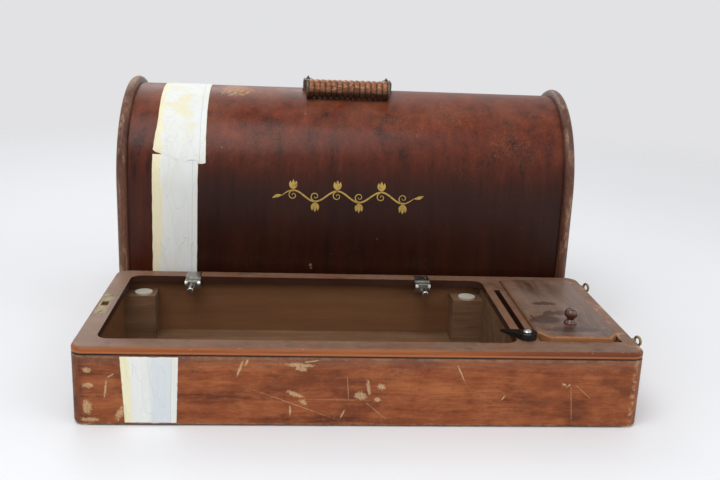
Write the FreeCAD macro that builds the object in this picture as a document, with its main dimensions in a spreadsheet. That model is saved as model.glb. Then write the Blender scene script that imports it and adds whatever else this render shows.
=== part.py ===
import FreeCAD, Part
import math
import os
import re
import Sketcher

from FreeCAD import Placement, Rotation, Vector

# A wooden carrying case for a hand sewing machine: a low base box whose deck has a well for the
# machine and an accessory compartment with a hinged lid, and an arched bentwood cover that stands
# on the table behind the base. Millimetres. X runs along the front, Y to the back, Z up. The base
# is drawn about its own middle; the pieces are then moved so that the origin is on the table, under
# the middle of the box that holds base and cover together.

doc = FreeCAD.newDocument("carrying_case")
sheet = doc.addObject("Spreadsheet::Sheet", "sizes")
NODES = []
CUTS = []
NEAR = 0.01


# Driving dimensions, each of which gets a cell of the sheet
SIZES = {
    # Base box
    "base_height": 73,
    "foot_height": 1.5,
    "foot_radius": 5,
    "foot_inset_x": 12,
    "board_thick": 13,
    "tongue_thick": 6,
    "tongue_depth": 4,
    "corner_round": 12,
    "edge_round": 1.5,
    "floor_thick": 6,
    "floor_inset": 3,
    "cut_over": 1,

    # Deck, from left to right and from front to back
    "deck_thick": 7,
    "deck_nose": 3,
    "left_rail": 18.5,
    "well_length": 373,
    "cross_rail": 20.5,
    "bay_width": 76,
    "right_rail": 14,
    "front_rail": 20,
    "well_depth": 180,
    "back_rail": 19,
    "well_corner": 11,
    "bay_step": 5.2,
    "ledge_width": 4.4,
    "ledge_thick": 2.2,

    # Walls inside the base
    "partition_thick": 8,
    "slot_width": 6,
    "slot_length": 120,
    "block_length": 32,
    "block_reach": 26.5,
    "bed_drop": 14,
    "felt_thick": 2,
    "felt_radius": 9,

    # Strike plate for the cover's lock
    "strike_inset": 8.4,
    "strike_shift": 1.5,
    "strike_wide": 10.8,
    "strike_long": 57,
    "strike_thick": 1.5,
    "strike_corner": 1.5,
    "strike_hole_wide": 6.4,
    "strike_hole_long": 10.6,
    "strike_screw_pitch": 46,
    "mortise_depth": 10,

    # Wood screws
    "screw_head": 3.9,
    "screw_head_rise": 1.4,
    "screw_shank": 1.6,
    "screw_length": 6.4,
    "screw_slot": 0.8,
    "small_head": 2.6,
    "small_rise": 1.1,
    "small_shank": 1.1,
    "small_length": 6,

    # Screw eyes on the right end of the deck
    "eye_back": 84,
    "eye_front": -72,
    "eye_reach": 5.2,
    "eye_drop": 3.5,
    "eye_ring": 3.9,
    "eye_wire": 1.25,
    "eye_shank": 1.35,
    "eye_turn": 20,
    "eye_bury": 8,

    # Brackets and arms that the machine hinges on
    "hinge_inset": 64,
    "hinge_wide": 16,
    "hinge_plate": 2,
    "hinge_plate_long": 15,
    "hinge_drop": 13,
    "hinge_ear": 3,
    "hinge_ear_bite": 0.5,
    "hinge_play": 0.3,
    "hinge_axis_drop": 6,
    "hinge_axis_out": 7,
    "hinge_eye": 4.4,
    "hinge_pin": 1.5,
    "hinge_neck": 6,
    "hinge_neck_high": 7,
    "hinge_relief": 0.6,
    "hinge_relief_radius": 2.8,
    "hinge_arm_radius": 3.2,
    "hinge_arm_length": 24,
    "hinge_arm_tip": 0.8,

    # Turning catch that holds the machine down
    "catch_x": 10,
    "catch_y": 13,
    "catch_angle": 142,
    "catch_round": 9,
    "catch_length": 25.4,
    "catch_tip": 1.2,
    "catch_thick": 5.5,
    "catch_tip_thick": 1.8,
    "catch_gap": 0.2,
    "catch_screw": 2,
    "catch_head": 4,
    "catch_head_gap": 0.4,
    "catch_head_rim": 0.4,
    "catch_dome": 2.2,
    "catch_slot_deep": 1.4,

    # Accessory lid
    "lid_thick": 8.5,
    "lid_rise": 4,
    "lid_side_gap": 0.8,
    "lid_front_gap": 0.9,
    "lid_back_gap": 0.6,
    "lid_clip_x": 9,
    "lid_clip_y": 13,
    "lid_bevel": 1.2,
    "lid_pin_radius": 1.25,
    "lid_pin_lift": 1.7,
    "lid_pin_bite": 6,
    "lid_pin_out": 5,
    "knob_y": -47.5,
    "knob_tenon": 3,
    "knob_foot": 6,
    "knob_foot_rise": 2.6,
    "knob_foot_step": 1.4,
    "knob_waist": 3.3,
    "knob_waist_rise": 5.2,
    "knob_waist_land": 1,
    "knob_flare": 0.6,
    "knob_flare_rise": 0.4,
    "knob_ball": 6.3,
    "knob_side_round": 5.4,
    "knob_top": 15,
    "knob_cap_rise": 0.7,

    # Paper tape strips
    "tape_thick": 0.4,
    "tape_base_left": 42.5,
    "tape_base_wide": 48,
    "tape_base_low": 1.6,
    "tape_cover_left": 35,
    "tape_cover_wide": 50,
    "tape_cover_low": 2,
    "tape_past_crest": 12,

    # Cover
    "cover_height": 269,
    "cover_reveal": 3,
    "cover_gap": 3,
    "cover_yaw": 1.25,
    "cover_shift": -3.5,
    "shell_thick": 6,
    "rim_wide": 11,
    "rim_proud": 7.5,
    "rim_lap": 5,
    "panel_thick": 10,
    "panel_inset": 1,
    "batten_thick": 11,
    "batten_low": 7,
    "batten_height": 16,
    "corner_block": 12,
    "corner_block_height": 60,

    # Lock in the cover's left end
    "lock_case_wide": 36,
    "lock_case_low": 6,
    "lock_case_height": 38,
    "lock_case_thick": 8,
    "lock_case_back": 1.5,
    "lock_plate_margin": 6,
    "lock_plate_lift": 0.5,
    "lock_screw_out": 3,
    "bolt_thick": 3.2,
    "bolt_wide": 9,
    "bolt_height": 22,
    "bolt_rest": 0.6,
    "bolt_clear": 0.15,
    "bolt_bevel": 0.8,
    "cam_radius": 5,
    "cam_height": 28,
    "cam_clear": 0.3,
    "cam_slot_low": 3.4,
    "cam_slot_high": 1.4,
    "keyhole_radius": 2.4,
    "keyhole_slot": 1.1,
    "keyhole_drop": 6.5,
    "key_plate_wide": 9,
    "key_plate_high": 14,
    "key_plate_drop": 2,

    # Carrying handle
    "handle_shift": -1.2,
    "grip_radius": 10.4,
    "grip_length": 88.4,
    "grip_rings": 14,
    "ring_depth": 1.2,
    "grip_gap": 0.3,
    "rod_radius": 3,
    "arm_thick": 2.3,
    "arm_length": 38,
    "arm_height": 9,
    "yoke_wide": 11,
    "yoke_cheek": 2.45,
    "yoke_bevel": 1.5,
    "yoke_reach": 12,
    "yoke_slot": 8.6,
    "pivot_rise": 7.5,
    "pivot_radius": 2,
    "pin_clear": 0.05,
    "lug_wide": 5.6,
    "lug_depth": 8,
    "lug_shoulder": 10.8,
    "lug_tip": 14.6,
    "foot_plate_wide": 12,
    "foot_plate_half": 13.5,
    "foot_plate_thick": 2,
    "foot_screw_out": 9.5,

    # Hooks on the cover's right end
    "hook_height": 22,
    "hook_wire": 0.95,
    "hook_loop": 2.7,
    "hook_loop_wire": 1.15,
    "hook_out": 5.3,
    "hook_below": 3.5,
    "hook_tip": 7,
    "hook_straight": 8,
    "hook_bend": 15,
    "hook_crank": 8.1,
    "hook_play": 0.1,
    "hook_rest": 36,
    "hook_neck": 1.5,
    "hook_collar": 3,
    "hook_head": 3.4,
    "hook_head_top": 2.4,
    "hook_head_rise": 2,
    "hook_screw_bury": 9,
}

for row, (alias, number) in enumerate(SIZES.items(), 1):
    sheet.set(f"A{row}", alias)
    sheet.set(f"B{row}", str(number))
    sheet.setAlias(f"B{row}", alias)
doc.recompute()


def full(text):
    """Turn an expression in plain size names into one that reads the sheet."""
    def in_sheet(match):
        word = match.group()
        return "sizes." + word if word in SIZES else word
    return re.sub(r"[a-z_][a-z0-9_]*", in_sheet, str(text))


def value(text):
    found = sheet.evalExpression(full(text))
    return float(getattr(found, "Value", found))


def bind(thing, prop, text):
    thing.setExpression(prop, full(text))


def mirror(text):
    return f"-({text})"


# Lines that several pieces share, as expressions in the sizes above
LENGTH = "(left_rail + well_length + cross_rail + bay_width + right_rail)"
DEPTH = "(front_rail + well_depth + back_rail)"
LEFT, RIGHT = f"(-{LENGTH} / 2)", f"({LENGTH} / 2)"
FRONT, BACK = f"(-{DEPTH} / 2)", f"({DEPTH} / 2)"
FRONT_INSIDE, BACK_INSIDE = f"({FRONT} + board_thick)", f"({BACK} - board_thick)"
LEFT_INSIDE, RIGHT_INSIDE = f"({LEFT} + board_thick)", f"({RIGHT} - board_thick)"
WELL_LEFT = f"({LEFT} + left_rail)"
WELL_RIGHT = f"({WELL_LEFT} + well_length)"
WELL_FRONT, WELL_BACK = f"({FRONT} + front_rail)", f"({BACK} - back_rail)"
BAY_LEFT = f"({WELL_RIGHT} + cross_rail)"
BAY_RIGHT = f"({RIGHT} - right_rail)"
BAY_FRONT = f"({WELL_FRONT} + bay_step)"
DECK_LOW = "(base_height - deck_thick)"
LEDGE_TOP = f"({DECK_LOW} + ledge_thick)"
FLOOR_TOP = "(foot_height + floor_inset + floor_thick)"
SLOT_LEFT = f"({WELL_RIGHT} + partition_thick)"
SLOT_RIGHT = f"({SLOT_LEFT} + slot_width)"
STRIKE_X = f"({LEFT} + strike_inset)"
LID_TOP = "(base_height + lid_rise)"
LID_LOW = f"({LID_TOP} - lid_thick)"
LID_LEFT, LID_RIGHT = f"({BAY_LEFT} + lid_side_gap)", f"({BAY_RIGHT} - lid_side_gap)"
LID_FRONT = f"({BAY_FRONT} + lid_front_gap)"
LID_PIN_Z = f"({LID_LOW} + lid_pin_lift)"
LID_ROUND = f"({LID_TOP} - {LID_PIN_Z})"
LID_PIN_Y = f"({WELL_BACK} - lid_back_gap - {LID_ROUND})"
LEDGE_BACK = f"({LID_PIN_Y} - {LID_ROUND} - lid_back_gap)"
KNOB_X = f"(({LID_LEFT} + {LID_RIGHT}) / 2)"
KNOB_CAP = "((knob_waist ^ 2 + knob_cap_rise ^ 2) / (2 * knob_cap_rise))"
HINGE_MIDDLE = f"(({WELL_LEFT} + {WELL_RIGHT}) / 2)"
HINGE_Y = f"({WELL_BACK} - hinge_axis_out)"
HINGE_Z = "(base_height - hinge_axis_drop)"
CATCH_X, CATCH_Y = f"({WELL_RIGHT} + catch_x)", f"({WELL_FRONT} + catch_y)"
EYE_X, EYE_Z = f"({RIGHT} + eye_reach)", "(base_height - eye_drop)"

COVER_LENGTH = f"({LENGTH} - 2 * cover_reveal)"
COVER_DEPTH = f"({DEPTH} - 2 * cover_reveal)"
COVER_END = f"({COVER_LENGTH} / 2)"
RIM_OUT = f"({COVER_DEPTH} / 2)"
SPRING = f"(cover_height - {RIM_OUT})"
SHELL_OUT = f"({RIM_OUT} - rim_proud)"
SHELL_IN = f"({SHELL_OUT} - shell_thick)"
SHELL_HALF = f"({COVER_END} - rim_wide + rim_lap)"
PANEL_OUTSIDE = f"({COVER_END} - panel_inset)"
PANEL_INSIDE = f"({PANEL_OUTSIDE} - panel_thick)"
COVER_Y = (f"({BACK} + cover_gap + sin(cover_yaw) * {COVER_LENGTH} / 2"
           f" + cos(cover_yaw) * {COVER_DEPTH} / 2)")
PIVOT_Z = f"({SPRING} + {SHELL_OUT} + pivot_rise)"
ARM_X = "(grip_length / 2)"
LUG_X = "(grip_length / 2 + arm_thick / 2)"
HOOK_X = f"({PANEL_OUTSIDE} + hook_out)"
HOOK_LENGTH = "(hook_height + hook_below)"


def at(x, y, z, rotation=None):
    return Placement(Vector(value(x), value(y), value(z)), rotation or Rotation())


def turned(x, y, z, degrees):
    return Rotation(Vector(x, y, z), degrees)


COVER_PLACE = at("cover_shift", COVER_Y, "0", turned(0, 0, -1, value("cover_yaw")))


def droop():
    """Angle below the horizontal at which the arms lie when the grip rests on the shell."""
    arm, pivot = value("arm_length"), value(f"{SHELL_OUT} + pivot_rise")
    grip = value(f"{SHELL_OUT} + grip_gap + grip_radius")
    return math.degrees(math.asin((arm ** 2 + pivot ** 2 - grip ** 2) / (2 * pivot * arm)))


HANDLE_PLACE = COVER_PLACE * at("handle_shift", "0", PIVOT_Z, turned(1, 0, 0, droop()))


def node(thing, label, place=None):
    """Keep an object as one piece of the case, under the name of its file."""
    thing.Label = label
    if place is not None:
        thing.Placement = place
    NODES.append(thing)
    return thing


def body(name):
    return doc.addObject("PartDesign::Body", name)


def loop(*corners):
    return list(corners)


def box_loop(x_low, y_low, x_high, y_high):
    return loop((x_low, y_low), (x_high, y_low), (x_high, y_high), (x_low, y_high))


def flip_y(corners):
    """Mirror a loop front to back."""
    flipped = []
    for corner in corners:
        arc = (corner[2], -corner[3]) if len(corner) > 2 else ()
        flipped.append((corner[0], mirror(corner[1])) + arc)
    return flipped


def flip_x(corners):
    """Mirror a loop left to right."""
    flipped = []
    for corner in corners:
        arc = (corner[2], -corner[3]) if len(corner) > 2 else ()
        flipped.append((mirror(corner[0]), corner[1]) + arc)
    return flipped


def arc_middle(start, end, radius, turn):
    """Middle point of the arc that bends left (turn 1) or right (turn -1) on its way to end."""
    chord = end - start
    rise = radius - math.sqrt(max(radius ** 2 - (chord.Length / 2) ** 2, 0))
    side = Vector(chord.y, -chord.x, 0).normalize() * (rise * turn)
    return (start + end) * 0.5 + side


def lock_point(sketch, geometry, position, x, y):
    for kind, text in (("DistanceX", x), ("DistanceY", y)):
        index = sketch.addConstraint(Sketcher.Constraint(kind, -1, 1, geometry, position, value(text)))
        bind(sketch, f"Constraints[{index}]", text)


def draw_loop(sketch, corners, closed=True):
    """Close a loop; a corner (x, y) ends a line and (x, y, radius, turn) ends an arc.

    A loop may name its first corner again at the end. An open path starts at its first corner.
    """
    spots = [Vector(value(corner[0]), value(corner[1]), 0) for corner in corners]
    if closed and spots[0].isEqual(spots[-1], 1e-6):
        corners, spots = corners[1:], spots[1:]
    ends = []
    first_end = 0 if closed else 1
    for index, corner in list(enumerate(corners))[first_end:]:
        start, end = spots[index - 1], spots[index]
        if len(corner) == 2:
            ends.append((sketch.addGeometry(Part.LineSegment(start, end), False), 1, 2))
            continue
        middle = arc_middle(start, end, value(corner[2]), corner[3])
        if corner[3] > 0:
            ends.append((sketch.addGeometry(Part.Arc(start, middle, end), False), 1, 2))
        else:
            ends.append((sketch.addGeometry(Part.Arc(end, middle, start), False), 2, 1))
        radius = sketch.addConstraint(Sketcher.Constraint("Radius", ends[-1][0], value(corner[2])))
        bind(sketch, f"Constraints[{radius}]", corner[2])
    if not closed:
        lock_point(sketch, ends[0][0], ends[0][1], corners[0][0], corners[0][1])
    for index, corner in enumerate(corners[first_end:]):
        geometry, _, last = ends[index]
        if closed or index + 1 < len(ends):
            following, first, _ = ends[(index + 1) % len(ends)]
            sketch.addConstraint(Sketcher.Constraint("Coincident", geometry, last, following, first))
        lock_point(sketch, geometry, last, corner[0], corner[1])


def draw_circle(sketch, x, y, radius):
    centre = Vector(value(x), value(y), 0)
    geometry = sketch.addGeometry(Part.Circle(centre, Vector(0, 0, 1), value(radius)), False)
    index = sketch.addConstraint(Sketcher.Constraint("Radius", geometry, value(radius)))
    bind(sketch, f"Constraints[{index}]", radius)
    lock_point(sketch, geometry, 3, x, y)


def sketch_on(owner, role, loops=(), circles=(), offset="0"):
    """Sketch on one of the body's own origin planes, moved along the plane's normal."""
    sketch = owner.newObject("Sketcher::SketchObject", owner.Name + "_sketch")
    plane = [feature for feature in owner.Origin.OriginFeatures if feature.Role == role][0]
    sketch.AttachmentSupport = [(plane, "")]
    sketch.MapMode = "FlatFace"
    bind(sketch, "AttachmentOffset.Base.z", offset)
    for corners in loops:
        draw_loop(sketch, corners)
    for circle in circles:
        draw_circle(sketch, *circle)
    return sketch


def pad(owner, sketch, length, midplane=False, back=False):
    feature = owner.newObject("PartDesign::Pad", owner.Name + "_pad")
    feature.Profile = (sketch, [""])
    bind(feature, "Length", length)
    feature.Midplane = midplane
    feature.Reversed = back
    sketch.Visibility = False
    return feature


def pocket(owner, sketch, depth=None, back=False, midplane=False):
    """Cut to a depth against the sketch's normal, or right through both ways."""
    feature = owner.newObject("PartDesign::Pocket", owner.Name + "_pocket")
    feature.Profile = (sketch, [""])
    if depth is None:
        feature.Type = "ThroughAll"
        feature.Midplane = True
    else:
        bind(feature, "Length", depth)
        feature.Reversed = back
        feature.Midplane = midplane
    CUTS.append(feature)
    return feature


def dress(owner, kind, radius, test):
    """Round or bevel the edges of the body's tip that pass a test."""
    doc.recompute()
    tip = owner.Tip
    names = [f"Edge{number}" for number, edge in enumerate(tip.Shape.Edges, 1) if test(edge)]
    if not names:
        raise ValueError(f"no edge to dress on {owner.Name}")
    feature = owner.newObject(f"PartDesign::{kind}", owner.Name + "_" + kind.lower())
    feature.Base = (tip, names)
    bind(feature, "Radius" if kind == "Fillet" else "Size", radius)
    return feature


def seated(blank, label, tools, place=None):
    """Cut the seats of fasteners out of a blank, so that they fit it face to face."""
    if place is not None:
        blank.Placement = place
    whole = tools[0]
    if len(tools) > 1:
        whole = doc.addObject("Part::Compound", label + "_tools")
        whole.Links = tools
    cut = doc.addObject("Part::Cut", label)
    cut.Base, cut.Tool = blank, whole
    return node(cut, label)


def block(name, x_low, x_high, y_low, y_high, z_low, z_high):
    solid = doc.addObject("Part::Box", name)
    bind(solid, "Length", f"{x_high} - ({x_low})")
    bind(solid, "Width", f"{y_high} - ({y_low})")
    bind(solid, "Height", f"{z_high} - ({z_low})")
    bind(solid, "Placement.Base.x", x_low)
    bind(solid, "Placement.Base.y", y_low)
    bind(solid, "Placement.Base.z", z_low)
    return solid


def rod(name, radius, length, place):
    solid = doc.addObject("Part::Cylinder", name)
    bind(solid, "Radius", radius)
    bind(solid, "Height", length)
    solid.Placement = place
    return solid


def group(label, solids, place=None):
    compound = doc.addObject("Part::Compound", label)
    compound.Links = solids
    return node(compound, label, place)


def fused(name, solids):
    whole = doc.addObject("Part::MultiFuse", name)
    whole.Shapes = solids
    return whole


def level_edge(edge, height):
    """True for an edge that lies all along one height."""
    bounds = edge.BoundBox
    return abs(bounds.ZMin - height) < NEAR and abs(bounds.ZMax - height) < NEAR


def outside_edge(edge, height):
    """True for a level edge on the outside of the base."""
    middle = edge.valueAt((edge.FirstParameter + edge.LastParameter) / 2)
    x_far, y_far = value(RIGHT), value(BACK)
    corner = value("corner_round")
    round_x, round_y = abs(middle.x) - (x_far - corner), abs(middle.y) - (y_far - corner)
    on_corner = min(round_x, round_y) > 0 and abs(math.hypot(round_x, round_y) - corner) < 0.1
    on_side = abs(abs(middle.x) - x_far) < NEAR or abs(abs(middle.y) - y_far) < NEAR
    return level_edge(edge, height) and (on_side or on_corner)


def long_board_loop():
    """Plan of the front board, with rounded outer corners and a groove near each end."""
    groove_out = "((board_thick - tongue_thick) / 2)"
    groove_in = "((board_thick + tongue_thick) / 2)"
    deep = f"({FRONT_INSIDE} - tongue_depth)"
    return loop(
        (f"{LEFT} + corner_round", FRONT), (f"{RIGHT} - corner_round", FRONT),
        (RIGHT, f"{FRONT} + corner_round", "corner_round", 1), (RIGHT, FRONT_INSIDE),
        (f"{RIGHT} - {groove_out}", FRONT_INSIDE), (f"{RIGHT} - {groove_out}", deep),
        (f"{RIGHT} - {groove_in}", deep), (f"{RIGHT} - {groove_in}", FRONT_INSIDE),
        (f"{LEFT} + {groove_in}", FRONT_INSIDE), (f"{LEFT} + {groove_in}", deep),
        (f"{LEFT} + {groove_out}", deep), (f"{LEFT} + {groove_out}", FRONT_INSIDE),
        (LEFT, FRONT_INSIDE), (LEFT, f"{FRONT} + corner_round"),
        (f"{LEFT} + corner_round", FRONT, "corner_round", 1))


def end_board_loop():
    """Plan of the left board, with a tongue at each end."""
    tongue_out = f"({LEFT} + (board_thick - tongue_thick) / 2)"
    tongue_in = f"({LEFT} + (board_thick + tongue_thick) / 2)"
    front_tip, back_tip = f"({FRONT_INSIDE} - tongue_depth)", f"({BACK_INSIDE} + tongue_depth)"
    return loop(
        (LEFT, FRONT_INSIDE), (tongue_out, FRONT_INSIDE), (tongue_out, front_tip),
        (tongue_in, front_tip), (tongue_in, FRONT_INSIDE), (LEFT_INSIDE, FRONT_INSIDE),
        (LEFT_INSIDE, BACK_INSIDE), (tongue_in, BACK_INSIDE), (tongue_in, back_tip),
        (tongue_out, back_tip), (tongue_out, BACK_INSIDE), (LEFT, BACK_INSIDE))


def box_board(label, corners):
    """One board of the base box, with eased outer edges under the deck and at the bottom."""
    owner = body(label)
    pad(owner, sketch_on(owner, "XY_Plane", [corners], offset="foot_height"),
        f"{DECK_LOW} - foot_height")
    heights = value("foot_height"), value(DECK_LOW)
    dress(owner, "Fillet", "edge_round",
          lambda edge: outside_edge(edge, heights[0]) or outside_edge(edge, heights[1]))
    return owner


def bolt_mortise(owner, depth, height):
    half_x, half_y = "(strike_hole_wide / 2)", "(strike_hole_long / 2)"
    corners = box_loop(f"{STRIKE_X} - {half_x}", f"strike_shift - {half_y}",
                       f"{STRIKE_X} + {half_x}", f"strike_shift + {half_y}")
    pocket(owner, sketch_on(owner, "XY_Plane", [corners], offset=height), depth)


def base_boards():
    node(box_board("base_front_board", long_board_loop()), "base_front_board")
    node(box_board("base_back_board", flip_y(long_board_loop())), "base_back_board")
    node(box_board("base_right_board", flip_x(end_board_loop())), "base_right_board")
    left = box_board("base_left_board", end_board_loop())
    bolt_mortise(left, "mortise_depth", DECK_LOW)
    node(left, "base_left_board")


def base_bottom():
    owner = body("base_bottom_board")
    plan = box_loop(LEFT_INSIDE, FRONT_INSIDE, RIGHT_INSIDE, BACK_INSIDE)
    pad(owner, sketch_on(owner, "XY_Plane", [plan], offset="foot_height + floor_inset"), "floor_thick")
    node(owner, "base_bottom_board")


def foot_pads():
    """Four felt discs under the corners of the box."""
    pads = []
    for x in (f"{LEFT} + foot_inset_x", f"{RIGHT} - foot_inset_x"):
        for y in (f"{FRONT} + board_thick / 2", f"{BACK} - board_thick / 2"):
            pads.append(rod(f"foot_pad_{len(pads)}", "foot_radius", "foot_height", at(x, y, "0")))
    group("base_foot_pads", pads)


def bed_supports():
    """Corner blocks in the well and the felt discs on which the machine's bed would rest."""
    top = "(base_height - bed_drop - felt_thick)"
    blocks, felts = [], []
    for x_low, x_high, felt_x in (
            (LEFT_INSIDE, f"({LEFT_INSIDE} + block_length)",
             f"({WELL_LEFT} + {LEFT_INSIDE} + block_length) / 2"),
            (f"({WELL_RIGHT} - block_length)", WELL_RIGHT, f"{WELL_RIGHT} - block_length / 2")):
        for y_low, y_high, felt_y in (
                (FRONT_INSIDE, f"({FRONT_INSIDE} + block_reach)",
                 f"({WELL_FRONT} + {FRONT_INSIDE} + block_reach) / 2"),
                (f"({BACK_INSIDE} - block_reach)", BACK_INSIDE,
                 f"({WELL_BACK} + {BACK_INSIDE} - block_reach) / 2")):
            number = len(blocks)
            blocks.append(block(f"bed_block_{number}", x_low, x_high, y_low, y_high, FLOOR_TOP, top))
            felts.append(rod(f"bed_felt_{number}", "felt_radius", "felt_thick", at(felt_x, felt_y, top)))
    group("bed_support_blocks", blocks)
    group("bed_support_felts", felts)


def inside_walls():
    """Two upright boards under the cross rail, with the narrow slot between them."""
    for label, x_low, x_high in (("well_partition", WELL_RIGHT, SLOT_LEFT),
                                 ("compartment_left_wall", SLOT_RIGHT, BAY_LEFT)):
        node(block(label, x_low, x_high, FRONT_INSIDE, BACK_INSIDE, FLOOR_TOP, DECK_LOW), label)


def deck_edges(owner):
    """Round the deck's outer edge above and ease it below."""
    top, low = value("base_height"), value(DECK_LOW)
    dress(owner, "Fillet", "deck_nose", lambda edge: outside_edge(edge, top))
    dress(owner, "Fillet", "edge_round", lambda edge: outside_edge(edge, low))


def deck_board(name, corners):
    owner = body(name)
    pad(owner, sketch_on(owner, "XY_Plane", [corners], offset=DECK_LOW), "deck_thick")
    return owner


def add_ledge(owner, corners):
    """Thin lip at the bottom of a rail that the accessory lid rests on."""
    pad(owner, sketch_on(owner, "XY_Plane", [corners], offset=DECK_LOW), "ledge_thick")


def front_rail():
    owner = deck_board("deck_front_rail", loop(
        (f"{LEFT} + corner_round", FRONT), (f"{RIGHT} - corner_round", FRONT),
        (RIGHT, f"{FRONT} + corner_round", "corner_round", 1), (RIGHT, WELL_FRONT),
        (BAY_RIGHT, WELL_FRONT), (BAY_RIGHT, BAY_FRONT), (BAY_LEFT, BAY_FRONT),
        (BAY_LEFT, WELL_FRONT), (LEFT, WELL_FRONT), (LEFT, f"{FRONT} + corner_round"),
        (f"{LEFT} + corner_round", FRONT, "corner_round", 1)))
    add_ledge(owner, box_loop(f"{BAY_LEFT} + ledge_width", f"{BAY_FRONT} - cut_over",
                              f"{BAY_RIGHT} - ledge_width", f"{BAY_FRONT} + ledge_width"))
    deck_edges(owner)
    node(owner, "deck_front_rail")


def hinge_x(side):
    return f"({HINGE_MIDDLE} {side} (well_length / 2 - hinge_inset))"


def back_rail(screws):
    owner = deck_board("deck_back_rail_blank", loop(
        (RIGHT, WELL_BACK), (RIGHT, f"{BACK} - corner_round"),
        (f"{RIGHT} - corner_round", BACK, "corner_round", 1), (f"{LEFT} + corner_round", BACK),
        (LEFT, f"{BACK} - corner_round", "corner_round", 1), (LEFT, WELL_BACK)))
    seats = []
    for side in "-+":
        seats.append(box_loop(f"{hinge_x(side)} - hinge_wide / 2", f"{WELL_BACK} - cut_over",
                              f"{hinge_x(side)} + hinge_wide / 2", f"{WELL_BACK} + hinge_plate_long"))
    pocket(owner, sketch_on(owner, "XY_Plane", seats, offset="base_height"), "hinge_plate")
    deck_edges(owner)
    seated(owner, "deck_back_rail", screws)


def left_rail(screws):
    owner = deck_board("deck_left_rail_blank", loop(
        (LEFT, WELL_FRONT), (f"{WELL_LEFT} + well_corner", WELL_FRONT),
        (WELL_LEFT, f"{WELL_FRONT} + well_corner", "well_corner", -1),
        (WELL_LEFT, f"{WELL_BACK} - well_corner"),
        (f"{WELL_LEFT} + well_corner", WELL_BACK, "well_corner", -1), (LEFT, WELL_BACK)))
    deck_edges(owner)
    plate = strike_plate_loop()
    pocket(owner, sketch_on(owner, "XY_Plane", [plate], offset="base_height"), "strike_thick")
    bolt_mortise(owner, "deck_thick", "base_height")
    seated(owner, "deck_left_rail", screws)


def cross_rail(tools):
    """Rail between the well and the compartment, with the slot routed through it."""
    owner = deck_board("deck_cross_rail_blank", loop(
        (f"{WELL_RIGHT} - well_corner", WELL_FRONT), (BAY_LEFT, WELL_FRONT), (BAY_LEFT, WELL_BACK),
        (f"{WELL_RIGHT} - well_corner", WELL_BACK),
        (WELL_RIGHT, f"{WELL_BACK} - well_corner", "well_corner", -1),
        (WELL_RIGHT, f"{WELL_FRONT} + well_corner"),
        (f"{WELL_RIGHT} - well_corner", WELL_FRONT, "well_corner", -1)))
    add_ledge(owner, box_loop(f"{BAY_LEFT} - cut_over", BAY_FRONT, f"{BAY_LEFT} + ledge_width", LEDGE_BACK))
    slot = box_loop(SLOT_LEFT, "-slot_length / 2", SLOT_RIGHT, "slot_length / 2")
    pocket(owner, sketch_on(owner, "XY_Plane", [slot], offset="base_height"), "deck_thick")
    seated(owner, "deck_cross_rail", tools)


def right_rail(tools):
    owner = deck_board("deck_right_rail_blank", box_loop(BAY_RIGHT, WELL_FRONT, RIGHT, WELL_BACK))
    add_ledge(owner, box_loop(f"{BAY_RIGHT} - ledge_width", BAY_FRONT, f"{BAY_RIGHT} + cut_over", LEDGE_BACK))
    deck_edges(owner)
    seated(owner, "deck_right_rail", tools)


def slotted_screw(name, place, head, rise, shank, length):
    """Countersunk wood screw with its flat head at its own origin and its shank going down."""
    cone = doc.addObject("Part::Cone", name + "_head")
    bind(cone, "Radius1", shank)
    bind(cone, "Radius2", head)
    bind(cone, "Height", rise)
    bind(cone, "Placement.Base.z", f"-{rise}")
    stem = rod(name + "_stem", shank, f"{length} - {rise}", at("0", "0", f"-({length})"))
    slot = block(name + "_slot", f"-{head}", head, "(-screw_slot / 2)", "(screw_slot / 2)",
                 f"(-{rise} / 2)", rise)
    screw = doc.addObject("Part::Cut", name)
    screw.Base, screw.Tool = fused(name + "_whole", [cone, stem]), slot
    screw.Placement = place
    return screw


def seat_tool(name, place, head, rise, shank, length):
    """The room that a countersunk screw takes up, without its slot."""
    cone = doc.addObject("Part::Cone", name + "_sink")
    bind(cone, "Radius1", shank)
    bind(cone, "Radius2", head)
    bind(cone, "Height", rise)
    bind(cone, "Placement.Base.z", f"-{rise}")
    stem = rod(name + "_bore", shank, f"{length} - {rise}", at("0", "0", f"-({length})"))
    tool = fused(name + "_seat", [cone, stem])
    tool.Placement = place
    return tool


WOOD_SCREW = ("screw_head", "screw_head_rise", "screw_shank", "screw_length")
SMALL_SCREW = ("small_head", "small_rise", "small_shank", "small_length")


def screws_at(label, places, kind):
    """Screws as one node, and the seats to cut out of what they hold."""
    screws, seats = [], []
    for number, place in enumerate(places):
        screws.append(slotted_screw(f"{label}_{number}", place, *kind))
        seats.append(seat_tool(f"{label}_{number}", place, *kind))
    group(label, screws)
    return seats


def strike_plate_loop():
    half_x, half_y, corner = "(strike_wide / 2)", "(strike_long / 2)", "strike_corner"
    x_low, x_high = f"({STRIKE_X} - {half_x})", f"({STRIKE_X} + {half_x})"
    y_low, y_high = f"(strike_shift - {half_y})", f"(strike_shift + {half_y})"
    return loop(
        (f"{x_low} + {corner}", y_low), (f"{x_high} - {corner}", y_low),
        (x_high, f"{y_low} + {corner}", corner, 1), (x_high, f"{y_high} - {corner}"),
        (f"{x_high} - {corner}", y_high, corner, 1), (f"{x_low} + {corner}", y_high),
        (x_low, f"{y_high} - {corner}", corner, 1), (x_low, f"{y_low} + {corner}"),
        (f"{x_low} + {corner}", y_low, corner, 1))


def strike_screw_places():
    slant = (turned(0, 0, 1, 70), turned(0, 0, 1, 35))
    return [at(STRIKE_X, f"strike_shift {side} strike_screw_pitch / 2", "base_height", spin)
            for side, spin in zip("-+", slant)]


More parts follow.
